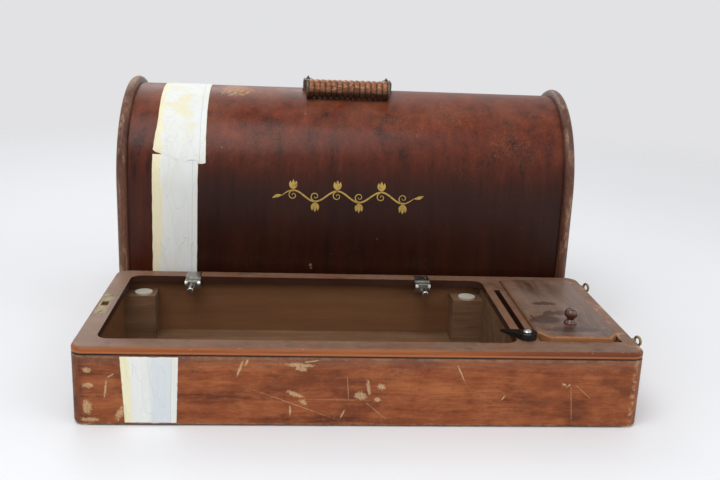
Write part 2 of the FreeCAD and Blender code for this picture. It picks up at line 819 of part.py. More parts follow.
def strike_plate(seats):
    owner = body("strike_plate_blank")
    half_x, half_y = "(strike_hole_wide / 2)", "(strike_hole_long / 2)"
    hole = box_loop(f"{STRIKE_X} - {half_x}", f"strike_shift - {half_y}",
                    f"{STRIKE_X} + {half_x}", f"strike_shift + {half_y}")
    plan = sketch_on(owner, "XY_Plane", [strike_plate_loop(), hole],
                     offset="base_height - strike_thick")
    pad(owner, plan, "strike_thick")
    seated(owner, "strike_plate", seats)


def screw_eye(name, y):
    """Wire eye whose shank goes straight into the deck's end and whose ring is turned."""
    turn = value("eye_turn")
    ring = doc.addObject("Part::Torus", name + "_ring")
    bind(ring, "Radius1", "eye_ring")
    bind(ring, "Radius2", "eye_wire")
    facing = Vector(math.cos(math.radians(turn)), math.sin(math.radians(turn)), 0)
    ring.Placement = at(EYE_X, y, EYE_Z, Rotation(Vector(0, 0, 1), facing))
    start = at(f"{RIGHT} - eye_bury", f"{y} + eye_ring * cos(eye_turn)", EYE_Z, turned(0, 1, 0, 90))
    shank = rod(name + "_shank", "eye_shank", f"eye_bury + eye_reach - eye_ring * sin(eye_turn)", start)
    return fused(name, [ring, shank])


def screw_eyes():
    eyes = [screw_eye("eye_at_back", "eye_back"), screw_eye("eye_at_front", "eye_front")]
    group("screw_eyes", eyes)
    return eyes


def machine_catch():
    """Black turn-button: a round end on its screw and a thin beak that reaches over the well."""
    owner = body("machine_catch")
    plan = loop(("0", "catch_round", "catch_round", -1), ("catch_length", "catch_tip"),
                ("catch_length + catch_tip", "0", "catch_tip", -1),
                ("catch_length", "-catch_tip", "catch_tip", -1), ("0", "-catch_round"),
                ("-catch_round", "0", "catch_round", -1))
    flat = sketch_on(owner, "XY_Plane", [plan], [("0", "0", "catch_screw + pin_clear")])
    pad(owner, flat, "catch_thick")
    slope = loop(("0", "catch_thick"), ("catch_length + catch_tip", "catch_tip_thick"),
                 ("catch_length + catch_tip", "catch_thick + cut_over"), ("0", "catch_thick + cut_over"))
    pocket(owner, sketch_on(owner, "XZ_Plane", [slope]), None)
    doc.recompute()
    place = at(CATCH_X, CATCH_Y, "base_height + catch_gap", turned(0, 0, 1, value("catch_angle")))
    node(owner, "machine_catch", place)


def catch_screw():
    """Domed screw that the catch turns on."""
    owner = body("machine_catch_screw")
    low, top = "-catch_thick", "(catch_thick + catch_head_gap)"
    rim = f"({top} + catch_head_rim)"
    crown = "((catch_head ^ 2 + catch_dome ^ 2) / (2 * catch_dome))"
    half = loop(("0", low), ("catch_screw", low), ("catch_screw", top), ("catch_head", top),
                ("catch_head", rim), ("0", f"{rim} + catch_dome", crown, 1))
    profile = sketch_on(owner, "XZ_Plane", [half])
    turn = owner.newObject("PartDesign::Revolution", "catch_screw_turn")
    turn.Profile = (profile, [""])
    turn.ReferenceAxis = (profile, ["V_Axis"])
    slot = box_loop("-catch_head - cut_over", "-screw_slot / 2", "catch_head + cut_over", "screw_slot / 2")
    pocket(owner, sketch_on(owner, "XY_Plane", [slot], offset=f"{rim} + catch_dome"), "catch_slot_deep")
    node(owner, "machine_catch_screw", at(CATCH_X, CATCH_Y, "base_height + catch_gap", turned(0, 0, 1, 25)))
    return owner


def hinge_bracket(label, side, seats, pin):
    """Angle bracket let into the back rail, with two ears that carry the hinge arm."""
    owner = body(label + "_blank")
    y_front, y_back = f"({WELL_BACK} - hinge_plate)", f"({WELL_BACK} + hinge_plate_long)"
    low, step = "(base_height - hinge_drop)", "(base_height - hinge_plate)"
    angle = loop((y_front, low), (WELL_BACK, low), (WELL_BACK, step), (y_back, step),
                 (y_back, "base_height"), (y_front, "base_height"))
    middle = hinge_x(side)
    pad(owner, sketch_on(owner, "YZ_Plane", [angle], offset=middle), "hinge_wide", midplane=True)
    root = f"({y_front} + hinge_ear_bite)"
    ear = loop((root, f"{HINGE_Z} - hinge_eye"), (root, f"{HINGE_Z} + hinge_eye"),
               (HINGE_Y, f"{HINGE_Z} + hinge_eye"), (f"{HINGE_Y} - hinge_eye", HINGE_Z, "hinge_eye", 1),
               (HINGE_Y, f"{HINGE_Z} - hinge_eye", "hinge_eye", 1))
    pad(owner, sketch_on(owner, "YZ_Plane", [ear], offset=middle), "hinge_wide", midplane=True)
    gap = box_loop(f"{HINGE_Y} - hinge_eye - cut_over", low, y_front, "base_height + cut_over")
    pocket(owner, sketch_on(owner, "YZ_Plane", [gap], offset=middle),
           "hinge_wide - 2 * hinge_ear", midplane=True)
    seated(owner, label, seats + [pin])


def hinge_screw_places(side):
    return [at(f"{hinge_x(side)} {across} hinge_wide / 4",
               f"{WELL_BACK} + hinge_plate_long / 2", "base_height", turned(0, 0, 1, spin))
            for across, spin in (("-", 20), ("+", 65))]


def hinge_arm(label, side):
    """Eye, square neck and round pin that enter the back edge of the machine's bed."""
    owner = body(label)
    width = "(hinge_wide - 2 * hinge_ear - 2 * hinge_play)"
    eye = sketch_on(owner, "YZ_Plane", circles=[("0", "0", "hinge_eye"), ("0", "0", "hinge_pin + pin_clear")])
    pad(owner, eye, width, midplane=True)
    half, high, root = f"({width} / 2)", "(hinge_neck_high / 2)", "(hinge_pin + hinge_play + pin_clear)"
    neck = sketch_on(owner, "XZ_Plane", [box_loop(f"-{half}", f"-{high}", half, high)], offset=root)
    pad(owner, neck, f"hinge_neck - {root}")
    for radius, start, end in (("hinge_relief_radius", "hinge_neck", "hinge_neck + hinge_relief"),
                               ("hinge_arm_radius", "hinge_neck + hinge_relief", "hinge_arm_length")):
        step = sketch_on(owner, "XZ_Plane", circles=[("0", "0", radius)], offset=start)
        pad(owner, step, f"{end} - ({start})")
    tip = value("-hinge_arm_length")
    dress(owner, "Chamfer", "hinge_arm_tip",
          lambda edge: abs(edge.BoundBox.YMin - tip) < NEAR and abs(edge.BoundBox.YMax - tip) < NEAR)
    node(owner, label, at(hinge_x(side), HINGE_Y, HINGE_Z))


def machine_hinges():
    seats, pins = [], []
    for name, side in (("left", "-"), ("right", "+")):
        start = at(f"{hinge_x(side)} - hinge_wide / 2", HINGE_Y, HINGE_Z, turned(0, 1, 0, 90))
        pins.append(rod(f"hinge_pin_{name}", "hinge_pin", "hinge_wide", start))
    seats = screws_at("machine_hinge_screws", hinge_screw_places("-") + hinge_screw_places("+"),
                      SMALL_SCREW)
    hinge_bracket("machine_hinge_bracket_left", "-", seats[:2], pins[0])
    hinge_bracket("machine_hinge_bracket_right", "+", seats[2:], pins[1])
    group("machine_hinge_pins", pins)
    hinge_arm("machine_hinge_arm_left", "-")
    hinge_arm("machine_hinge_arm_right", "+")
    return seats


def accessory_lid(tools):
    """Lid with clipped front corners and a back edge rounded about its hinge pins."""
    owner = body("accessory_lid_blank")
    back = f"({LID_PIN_Y} + {LID_ROUND})"
    plan = loop(
        (f"{LID_LEFT} + lid_clip_x", LID_FRONT), (f"{LID_RIGHT} - lid_clip_x", LID_FRONT),
        (LID_RIGHT, f"{LID_FRONT} + lid_clip_y"), (LID_RIGHT, back), (LID_LEFT, back),
        (LID_LEFT, f"{LID_FRONT} + lid_clip_y"))
    pad(owner, sketch_on(owner, "XY_Plane", [plan], offset=LID_LOW), "lid_thick")
    low_back = f"({LID_PIN_Y} + sqrt({LID_ROUND} * {LID_ROUND} - lid_pin_lift * lid_pin_lift))"
    far, above = f"({back} + cut_over)", f"({LID_TOP} + cut_over)"
    waste = loop((low_back, LID_LOW), (far, LID_LOW), (far, above), (LID_PIN_Y, above), (LID_PIN_Y, LID_TOP),
                 (low_back, LID_LOW, LID_ROUND, -1))
    pocket(owner, sketch_on(owner, "YZ_Plane", [waste]), None)
    top, pin_y = value(LID_TOP), value(LID_PIN_Y)
    dress(owner, "Chamfer", "lid_bevel",
          lambda edge: level_edge(edge, top) and edge.BoundBox.YMin < pin_y - NEAR)
    seated(owner, "accessory_lid", tools)


def lid_pins():
    """Two pins at the lid's back corners, and the running holes they turn in."""
    pins, holes = [], []
    reach = "(lid_pin_bite + lid_pin_out)"
    for name, x in (("left", f"({BAY_LEFT} - lid_pin_out)"), ("right", f"({LID_RIGHT} - lid_pin_bite)")):
        start = at(x, LID_PIN_Y, LID_PIN_Z, turned(0, 1, 0, 90))
        pins.append(rod(f"lid_pin_{name}", "lid_pin_radius", reach, start))
        holes.append(rod(f"lid_pin_hole_{name}", "lid_pin_radius + pin_clear", reach, start))
    return pins, holes


def lid_knob():
    """Small turned knob: tenon, foot, waist and a flattened ball."""
    owner = body("lid_knob")
    ball_low = "(knob_waist_rise + knob_flare_rise)"
    half = loop(("0", "-lid_thick"), ("knob_tenon", "-lid_thick"), ("knob_tenon", "0"),
                ("knob_foot", "0"), ("knob_foot - knob_foot_step", "knob_foot_rise", "knob_foot_rise", 1),
                ("knob_waist", "knob_waist_rise - knob_waist_land"), ("knob_waist + knob_flare", ball_low),
                ("knob_ball", f"({ball_low} + knob_top) / 2", "knob_side_round", 1),
                ("knob_waist", "knob_top - knob_cap_rise", "knob_side_round", 1),
                ("0", "knob_top", KNOB_CAP, 1))
    profile = sketch_on(owner, "XZ_Plane", [half])
    turn = owner.newObject("PartDesign::Revolution", "knob_turn")
    turn.Profile = (profile, [""])
    turn.ReferenceAxis = (profile, ["V_Axis"])
    node(owner, "lid_knob", at(KNOB_X, "knob_y", LID_TOP))
    place = at(KNOB_X, "knob_y", f"{LID_LOW} - cut_over")
    return rod("knob_hole", "knob_tenon", "lid_thick + 2 * cut_over", place)


def base_tape():
    left = f"({LEFT} + tape_base_left)"
    strip = block("base_tape", left, f"({left} + tape_base_wide)", f"({FRONT} - tape_thick)", FRONT,
                  "(foot_height + tape_base_low)", f"({DECK_LOW} - edge_round)")
    node(strip, "base_tape")


def arch_side(radius, way):
    """Half an arch from its crest, down to the floor on the back side (way 1) or up from the front."""
    if way > 0:
        return [("0", f"{SPRING} + {radius}"), (radius, SPRING, radius, -1), (radius, "0")]
    return [(mirror(radius), "0"), (mirror(radius), SPRING), ("0", f"{SPRING} + {radius}", radius, -1)]


def arch_loop(radius):
    return arch_side(radius, -1) + arch_side(radius, 1)[1:]


def cover_shell(tools):
    """Bent plywood: upright sides and a round top, 6 mm thick."""
    owner = body("cover_shell_blank")
    inner = [(SHELL_IN, "0"), (SHELL_IN, SPRING), ("0", f"{SPRING} + {SHELL_IN}", SHELL_IN, 1),
             (mirror(SHELL_IN), SPRING, SHELL_IN, 1), (mirror(SHELL_IN), "0")]
    pad(owner, sketch_on(owner, "YZ_Plane", [arch_loop(SHELL_OUT) + inner]),
        f"2 * {SHELL_HALF}", midplane=True)
    seated(owner, "cover_shell", tools, COVER_PLACE)


def cover_rim(label, flip):
    """Bent moulding with a half-round nose, rebated for the end of the shell."""
    owner = body(label)
    nose = "(rim_wide / 2)"
    shoulder = f"(-{RIM_OUT} + {nose})"
    out, inn = mirror(COVER_END), f"(-{COVER_END} + rim_wide)"
    lap = f"({inn} - rim_lap)"
    section = loop((out, mirror(SHELL_IN)), (out, shoulder),
                   (f"{out} + {nose}", mirror(RIM_OUT), nose, 1), (inn, shoulder, nose, 1),
                   (inn, mirror(SHELL_OUT)), (lap, mirror(SHELL_OUT)), (lap, mirror(SHELL_IN)))
    if flip:
        section = flip_x(section)
    profile = sketch_on(owner, "XY_Plane", [section])
    spine = sketch_on(owner, "YZ_Plane")
    draw_loop(spine, arch_loop(SHELL_OUT), closed=False)
    pipe = owner.newObject("PartDesign::AdditivePipe", label + "_pipe")
    pipe.Profile = profile
    pipe.Spine = spine
    node(owner, label, COVER_PLACE)


def end_panel(label, side, tools):
    """Arched board that closes one end of the cover."""
    owner = body(label + "_blank")
    offset = f"(-{PANEL_OUTSIDE})" if side < 0 else PANEL_INSIDE
    pad(owner, sketch_on(owner, "YZ_Plane", [arch_loop(SHELL_IN)], offset=offset), "panel_thick")
    if side < 0:
        case = lock_case_loop("0")
        room = sketch_on(owner, "YZ_Plane", [case], offset=f"(-{PANEL_INSIDE})")
        pocket(owner, room, "lock_case_thick")
        bolt_way = box_loop("strike_shift - bolt_wide / 2 - bolt_clear", "-cut_over",
                            "strike_shift + bolt_wide / 2 + bolt_clear", "lock_case_low + cut_over")
        way = sketch_on(owner, "YZ_Plane", [bolt_way], offset=STRIKE_X)
        pocket(owner, way, "bolt_thick + 2 * bolt_clear", midplane=True)
        pocket(owner, sketch_on(owner, "YZ_Plane", [keyhole_loop()], offset=f"(-{PANEL_OUTSIDE})"), None)
    seated(owner, label, tools, COVER_PLACE)


def keyhole_loop():
    """Round keyhole with a slot below it."""
    centre, half = "strike_shift", "keyhole_slot"
    edge = "sqrt(keyhole_radius * keyhole_radius - keyhole_slot * keyhole_slot)"
    return loop((f"{centre} - {half}", f"cam_height - {edge}"),
                (f"{centre} - {half}", "cam_height - keyhole_drop"),
                (f"{centre} + {half}", "cam_height - keyhole_drop"),
                (f"{centre} + {half}", f"cam_height - {edge}"),
                (f"{centre} + keyhole_radius", "cam_height", "keyhole_radius", 1),
                (centre, "cam_height + keyhole_radius", "keyhole_radius", 1),
                (f"{centre} - keyhole_radius", "cam_height", "keyhole_radius", 1),
                (f"{centre} - {half}", f"cam_height - {edge}", "keyhole_radius", 1))


def lock_case_loop(grow):
    half = f"(lock_case_wide / 2 + {grow})"
    return box_loop(f"strike_shift - {half}", f"lock_case_low - {grow}",
                    f"strike_shift + {half}", f"lock_case_low + lock_case_height + {grow}")


def lock():
    """Lock case, its cover plate, the bolt and the cam that a key would turn."""
    inside = f"(-{PANEL_INSIDE})"
    case = body("lock_case")
    pad(case, sketch_on(case, "YZ_Plane", [lock_case_loop("0")], offset=f"{inside} - lock_case_thick"),
        "lock_case_thick")
    half, rise = "(bolt_wide / 2 + bolt_clear)", "(cam_height - cam_radius / 2)"
    room = box_loop(f"strike_shift - {half}", "lock_case_low - cut_over", f"strike_shift + {half}", rise)
    pocket(case, sketch_on(case, "YZ_Plane", [room], offset=f"{inside} - lock_case_thick"),
           "lock_case_thick - lock_case_back", back=True)
    cam_room = sketch_on(case, "YZ_Plane", circles=[("strike_shift", "cam_height", "cam_radius + pin_clear")],
                         offset=f"{inside} - lock_case_thick")
    pocket(case, cam_room, "lock_case_thick - lock_case_back", back=True)
    node(case, "lock_case", COVER_PLACE)

    corners = []
    for across, up, spin in (("-", "lock_case_low - lock_screw_out", 15),
                             ("+", "lock_case_low - lock_screw_out", 50),
                             ("-", "lock_case_low + lock_case_height + lock_screw_out", 80),
                             ("+", "lock_case_low + lock_case_height + lock_screw_out", 35)):
        corners.append(COVER_PLACE * at(f"{inside} + lock_case_back",
                                        f"strike_shift {across} (lock_case_wide / 2 + lock_screw_out)", up,
                                        turned(0, 1, 0, 90) * turned(0, 0, 1, spin)))
    seats = screws_at("lock_plate_screws", corners, SMALL_SCREW)
    plate = body("lock_plate_blank")
    outline = box_loop("strike_shift - lock_case_wide / 2 - lock_plate_margin", "lock_plate_lift",
                       "strike_shift + lock_case_wide / 2 + lock_plate_margin",
                       "lock_case_low + lock_case_height + lock_plate_margin")
    pad(plate, sketch_on(plate, "YZ_Plane", [outline], offset=inside), "lock_case_back")
    seated(plate, "lock_plate", seats, COVER_PLACE)

    bolt = body("lock_bolt")
    bar = box_loop("strike_shift - bolt_wide / 2", "bolt_rest", "strike_shift + bolt_wide / 2",
                   "bolt_rest + bolt_height")
    pad(bolt, sketch_on(bolt, "YZ_Plane", [bar], offset=STRIKE_X), "bolt_thick", midplane=True)
    low = value("bolt_rest")
    dress(bolt, "Chamfer", "bolt_bevel", lambda edge: level_edge(edge, low))
    node(bolt, "lock_bolt", COVER_PLACE)

    cam = body("lock_cam")
    disc = sketch_on(cam, "YZ_Plane", circles=[("0", "0", "cam_radius")])
    pad(cam, disc, "lock_case_thick - lock_case_back - 2 * cam_clear", midplane=True)
    way = box_loop("-keyhole_slot", "-cam_slot_low", "keyhole_slot", "cam_slot_high")
    pocket(cam, sketch_on(cam, "YZ_Plane", [way]), None)
    middle = f"{inside} - lock_case_thick / 2 - lock_case_back / 2"
    node(cam, "lock_cam", COVER_PLACE * at(middle, "strike_shift", "cam_height"))
    return seats


def keyhole_plate():
    owner = body("keyhole_plate")
    half_y, half_z = "(key_plate_wide / 2)", "(key_plate_high / 2)"
    middle = "(cam_height - key_plate_drop)"
    oval = loop((f"strike_shift - {half_y}", f"{middle} - {half_z} + {half_y}"),
                (f"strike_shift", f"{middle} - {half_z}", half_y, 1),
                (f"strike_shift + {half_y}", f"{middle} - {half_z} + {half_y}", half_y, 1),
                (f"strike_shift + {half_y}", f"{middle} + {half_z} - {half_y}"),
                (f"strike_shift", f"{middle} + {half_z}", half_y, 1),
                (f"strike_shift - {half_y}", f"{middle} + {half_z} - {half_y}", half_y, 1))
    face = sketch_on(owner, "YZ_Plane", [oval, keyhole_loop()], offset=f"(-{COVER_END})")
    pad(owner, face, "panel_inset")
    node(owner, "keyhole_plate", COVER_PLACE)


def battens():
    """Strips inside the bottom edge of the shell, and blocks in its corners."""
    for label, y_low in (("cover_front_batten", mirror(SHELL_IN)),
                         ("cover_back_batten", f"{SHELL_IN} - batten_thick")):
        owner = body(label)
        plan = box_loop(mirror(PANEL_INSIDE), y_low, PANEL_INSIDE, f"{y_low} + batten_thick")
        pad(owner, sketch_on(owner, "XY_Plane", [plan], offset="batten_low"), "batten_height")
        node(owner, label, COVER_PLACE)
    blocks = []
    for x_low, x_high in ((f"(-{PANEL_INSIDE})", f"(-{PANEL_INSIDE} + corner_block)"),
                          (f"({PANEL_INSIDE} - corner_block)", PANEL_INSIDE)):
        for y_low, y_high in ((f"(-{SHELL_IN})", f"(-{SHELL_IN} + corner_block)"),
                              (f"({SHELL_IN} - corner_block)", SHELL_IN)):
            blocks.append(block(f"corner_block_{len(blocks)}", x_low, x_high, y_low, y_high,
                                "(batten_low + batten_height)",
                                "(batten_low + batten_height + corner_block_height)"))
    group("cover_corner_blocks", blocks, COVER_PLACE)


def cover_tape():
    """Paper tape up the front of the shell and over its crest."""
    owner = body("cover_tape")
    inner, outer = SHELL_OUT, f"({SHELL_OUT} + tape_thick)"

    def past(radius):
        return f"({radius} * sin(tape_past_crest))", f"({SPRING} + {radius} * cos(tape_past_crest))"

    band = [(mirror(outer), "tape_cover_low"), (mirror(outer), SPRING), past(outer) + (outer, -1),
            past(inner), (mirror(inner), SPRING, inner, 1), (mirror(inner), "tape_cover_low")]
    left = f"(-{COVER_END} + tape_cover_left)"
    pad(owner, sketch_on(owner, "YZ_Plane", [band], offset=left), "tape_cover_wide")
    node(owner, "cover_tape", COVER_PLACE)


def foot_screw_places():
    """Round-headed screws square to the curved plates under the lugs."""
    places = []
    reach = value(f"{SHELL_OUT} + foot_plate_thick")
    lean = math.degrees(math.asin(value("foot_screw_out") / reach))
    for side in "-+":
        for way, spin in ((-1, 40), (1, 75)):
            tilt = Placement(Vector(0, 0, 0), turned(1, 0, 0, -way * lean))
            centre = at(f"handle_shift {side} {LUG_X}", "0", SPRING)
            places.append(COVER_PLACE * centre * tilt * Placement(Vector(0, 0, reach), turned(0, 0, 1, spin)))
    return places


def handle_lug(label, side, seats):
    """Pointed post on a plate that is curved to sit on the shell."""
    owner = body(label + "_blank")
    middle = f"(handle_shift {side} {LUG_X})"
    low, high = SHELL_OUT, f"({SHELL_OUT} + foot_plate_thick)"

    def rise(radius):
        return f"({SPRING} + sqrt({radius} * {radius} - foot_plate_half * foot_plate_half))"

    plate = loop(("-foot_plate_half", rise(low)), ("0", f"{SPRING} + {low}", low, -1),
                 ("foot_plate_half", rise(low), low, -1), ("foot_plate_half", rise(high)),
                 ("0", f"{SPRING} + {high}", high, 1), ("-foot_plate_half", rise(high), high, 1))
    pad(owner, sketch_on(owner, "YZ_Plane", [plate], offset=middle), "foot_plate_wide", midplane=True)
    crest = f"({SPRING} + {SHELL_OUT})"
    left, right = f"{middle} - lug_wide / 2", f"{middle} + lug_wide / 2"
    post = loop((left, f"{crest} + foot_plate_thick / 2"), (right, f"{crest} + foot_plate_thick / 2"),
                (right, f"{crest} + lug_shoulder"), (middle, f"{crest} + lug_tip"),
                (left, f"{crest} + lug_shoulder"))
    pad(owner, sketch_on(owner, "XZ_Plane", [post]), "lug_depth", midplane=True)
    hole = sketch_on(owner, "YZ_Plane", circles=[("0", PIVOT_Z, "pivot_radius + pin_clear")], offset=middle)
    pocket(owner, hole, "lug_wide * 2", midplane=True)
    seated(owner, label, seats, COVER_PLACE)


def handle_arm(label, side):
    """Metal cheek on the grip's end, with a strap and a forked end on the lug's pivot."""
    owner = body(label)
    way = 1 if side == "+" else -1
    middle = f"({way} * {LUG_X})"
    end = sketch_on(owner, "YZ_Plane", circles=[("-arm_length", "0", "grip_radius")], offset=middle)
    pad(owner, end, "arm_thick", midplane=True)
    half = "(arm_height / 2)"
    strap = box_loop("-arm_length", f"-{half}", "-yoke_slot - cut_over", half)
    pad(owner, sketch_on(owner, "YZ_Plane", [strap], offset=middle), "arm_thick", midplane=True)
    fork = loop(("-yoke_reach", f"-{half}"), ("0", f"-{half}"), (half, "0", half, 1),
                ("0", half, half, 1), ("-yoke_reach", half))
    pad(owner, sketch_on(owner, "YZ_Plane", [fork], offset=middle), "yoke_wide", midplane=True)
    sides = [value(f"{middle} {sign} yoke_wide / 2") for sign in "-+"]
    dress(owner, "Chamfer", "yoke_bevel",
          lambda edge: edge.BoundBox.YMax > NEAR and edge.BoundBox.XLength < NEAR
          and min(abs(edge.BoundBox.XMin - x) for x in sides) < NEAR)
    gap_half = "(yoke_wide / 2 - yoke_cheek)"
    gap = box_loop(f"{middle} - {gap_half}", "-yoke_slot", f"{middle} + {gap_half}", f"{half} + cut_over")
    pocket(owner, sketch_on(owner, "XY_Plane", [gap]), None)
    bores = sketch_on(owner, "YZ_Plane", circles=[("0", "0", "pivot_radius"), ("-arm_length", "0", "rod_radius")],
                      offset=middle)
    pocket(owner, bores, "yoke_wide * 2", midplane=True)
    node(owner, label, HANDLE_PLACE)


def handle_grip():
    """Turned wooden roller with a row of equal rings."""
    owner = body("handle_grip")
    count = int(value("grip_rings"))
    half, valley = "(grip_length / 2)", "(grip_radius - ring_depth)"
    bulge = f"(((grip_length / grip_rings / 2) ^ 2 + ring_depth ^ 2) / (2 * ring_depth))"
    profile = [(mirror(half), "rod_radius"), (half, "rod_radius"), (half, valley)]
    for ring in range(count):
        step = f"({half} - grip_length * {ring + 1} / grip_rings)"
        profile.append((step, valley, bulge, 1))
    turn = owner.newObject("PartDesign::Revolution", "grip_turn")
    outline = sketch_on(owner, "XY_Plane", [profile])
    turn.Profile = (outline, [""])
    turn.ReferenceAxis = (outline, ["H_Axis"])
    owner.Tip = turn
    node(owner, "handle_grip", HANDLE_PLACE * at("0", "-arm_length", "0"))


def handle():
    seats = screws_at("handle_lug_screws", foot_screw_places(), SMALL_SCREW)
    handle_lug("handle_lug_left", "-", seats[:2])
    handle_lug("handle_lug_right", "+", seats[2:])
    handle_arm("handle_arm_left", "-")
    handle_arm("handle_arm_right", "+")
    handle_grip()
    reach = "(grip_length / 2 + arm_thick)"
    place = HANDLE_PLACE * at(f"-{reach}", "-arm_length", "0", turned(0, 1, 0, 90))
    node(rod("handle_rod", "rod_radius", f"2 * {reach}", place), "handle_rod", place)
    pins = []
    for side in "-+":
        start = at(f"0 {side} {LUG_X} - yoke_wide / 2", "0", "0", turned(0, 1, 0, 90))
        pins.append(rod(f"handle_pin_{len(pins)}", "pivot_radius", "yoke_wide", start))
    group("handle_pivot_pins", pins, HANDLE_PLACE)
    return seats


def hook_screw(name, y):
    """Shouldered screw with a collar behind the hook's loop and a round head before it."""
    place = COVER_PLACE * at(PANEL_OUTSIDE, y, "hook_height", turned(0, 1, 0, 90))
    collar = "(hook_out - hook_loop_wire - hook_play)"
    neck = "(2 * hook_loop_wire + 2 * hook_play)"
    shank = rod(name + "_shank", "hook_neck", f"hook_screw_bury + {collar} + {neck}",
                at("0", "0", "-hook_screw_bury"))
    ring = rod(name + "_collar", "hook_collar", collar, at("0", "0", "0"))
    head = doc.addObject("Part::Cone", name + "_head")
    bind(head, "Radius1", "hook_head")
    bind(head, "Radius2", "hook_head_top")
    bind(head, "Height", "hook_head_rise")
    bind(head, "Placement.Base.z", f"{collar} + {neck}")
    whole = fused(name, [shank, ring, head])
    whole.Placement = place
    return whole


def wire_run(name, x_start, z_start, x_end, z_end):
    """Straight run of the hook's wire in its own XZ plane, a little longer so that bends close."""
    start = Vector(value(x_start), 0, value(z_start))
    end = Vector(value(x_end), 0, value(z_end))
    along = (end - start).normalize()
    length = f"sqrt(({x_end} - ({x_start})) ^ 2 + ({z_end} - ({z_start})) ^ 2) + hook_wire"
    place = Placement(start - along * value("hook_wire / 2"), Rotation(Vector(0, 0, 1), along))
    return [rod(name, "hook_wire", length, place)]


def hook(label, y, lean):
    """Cranked wire hook: a loop on its screw, a shank clear of the eye and a tip that enters it."""
    ring = doc.addObject("Part::Torus", label + "_loop")
    bind(ring, "Radius1", "hook_loop")
    bind(ring, "Radius2", "hook_loop_wire")
    ring.Placement = at("0", "0", "0", turned(0, 1, 0, 90))
    low = f"(-{HOOK_LENGTH})"
    runs = wire_run(label + "_neck", "0", "-hook_loop", "0", "-hook_straight")
    runs += wire_run(label + "_crank", "0", "-hook_straight", "hook_crank", "-hook_bend")
    runs += wire_run(label + "_shank", "hook_crank", "-hook_bend", "hook_crank", low)
    runs += wire_run(label + "_tip", "hook_crank", low, "hook_crank - hook_tip", low)
    whole = fused(label, [ring] + runs)
    place = COVER_PLACE * at(HOOK_X, y, "hook_height", turned(1, 0, 0, lean * value("hook_rest")))
    node(whole, label, place)


def hooks():
    screws = [hook_screw("hook_screw_back", "eye_back"), hook_screw("hook_screw_front", "eye_front")]
    group("hook_screws", screws)
    hook("hook_back", "eye_back", -1)
    hook("hook_front", "eye_front", 1)
    return screws


def build():
    base_boards()
    base_bottom()
    foot_pads()
    bed_supports()
    inside_walls()
    strike_seats = screws_at("strike_plate_screws", strike_screw_places(), WOOD_SCREW)
    strike_plate(strike_seats)
    hinge_seats = machine_hinges()
    eyes = screw_eyes()
    pins, holes = lid_pins()
    screw = catch_screw()
    machine_catch()
    front_rail()
    back_rail(hinge_seats)
    left_rail(strike_seats)
    cross_rail([screw, holes[0]])
    right_rail(eyes + [holes[1]])
    knob_hole = lid_knob()
    accessory_lid(pins + [knob_hole])
    group("lid_pivot_pins", pins)
    base_tape()

    lug_seats = handle()
    cover_shell(lug_seats)
    cover_rim("cover_left_rim", False)
    cover_rim("cover_right_rim", True)
    plate_seats = lock()
    end_panel("cover_left_panel", -1, plate_seats)
    end_panel("cover_right_panel", 1, hooks())
    keyhole_plate()
    battens()
    cover_tape()


def check_and_write():
    """Stop if anything failed, then write each piece to its own file."""
    doc.recompute()
    for thing in doc.Objects:
        if "Invalid" in thing.State or "Error" in thing.State:
            raise RuntimeError(f"{thing.Name} failed: {thing.State}")
    for cut in CUTS:
        if cut.Shape.Volume > cut.BaseFeature.Shape.Volume - NEAR:
            raise RuntimeError(f"{cut.Name} cuts nothing")
    os.makedirs("parts", exist_ok=True)
    for piece in NODES:
        if piece.Shape.isNull() or not piece.Shape.isValid():
            raise RuntimeError(f"{piece.Label} has no valid shape")
    whole = FreeCAD.BoundBox()
    for piece in NODES:
        whole.add(piece.Shape.optimalBoundingBox(False, False))
    shift = Vector(-whole.Center.x, -whole.Center.y, 0)
    for piece in NODES:
        piece.Shape.translated(shift).exportStep(f"parts/{piece.Label}.step")
    print(len(NODES), "pieces, moved by", shift)


build()
check_and_write()
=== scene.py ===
import math
import random

import bpy
from mathutils import Matrix, Vector, noise


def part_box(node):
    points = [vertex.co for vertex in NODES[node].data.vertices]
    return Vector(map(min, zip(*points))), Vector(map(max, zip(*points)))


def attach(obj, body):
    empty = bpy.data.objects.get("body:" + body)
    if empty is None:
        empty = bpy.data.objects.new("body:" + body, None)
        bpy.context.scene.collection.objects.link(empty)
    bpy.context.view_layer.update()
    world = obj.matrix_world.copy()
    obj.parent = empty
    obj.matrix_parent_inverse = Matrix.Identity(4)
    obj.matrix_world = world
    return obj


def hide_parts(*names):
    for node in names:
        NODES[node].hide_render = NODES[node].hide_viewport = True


# An antique carrying case for a sewing machine: worn red-brown base box with an open well and a
# lidded compartment, and an arched cover standing behind it. Metres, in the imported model's frame.

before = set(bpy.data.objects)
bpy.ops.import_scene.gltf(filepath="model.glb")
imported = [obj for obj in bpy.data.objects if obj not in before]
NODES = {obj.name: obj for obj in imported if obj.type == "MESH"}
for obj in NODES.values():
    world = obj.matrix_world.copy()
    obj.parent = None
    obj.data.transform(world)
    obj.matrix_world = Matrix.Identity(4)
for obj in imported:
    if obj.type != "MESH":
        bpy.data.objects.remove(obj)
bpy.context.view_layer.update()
MM = 0.001

# Places below are in millimetres from the middle of the base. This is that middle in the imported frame
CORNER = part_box("base_front_board")[0]
HALF_LENGTH = 251.0
HALF_DEPTH = 109.5
BASE = Vector((CORNER[0] / MM + HALF_LENGTH, CORNER[1] / MM + HALF_DEPTH, 0.0))

# Where the cover stands, and the shape of its shell
COVER_CENTRE = (BASE.x - 3.5, BASE.y + 224.385)
COVER_TURN = math.radians(-1.25)
SPRING = 162.5
SHELL_RADIUS = 99.0
COVER_PLACE = (Matrix.Translation((COVER_CENTRE[0] * MM, COVER_CENTRE[1] * MM, 0))
               @ Matrix.Rotation(COVER_TURN, 4, "Z"))


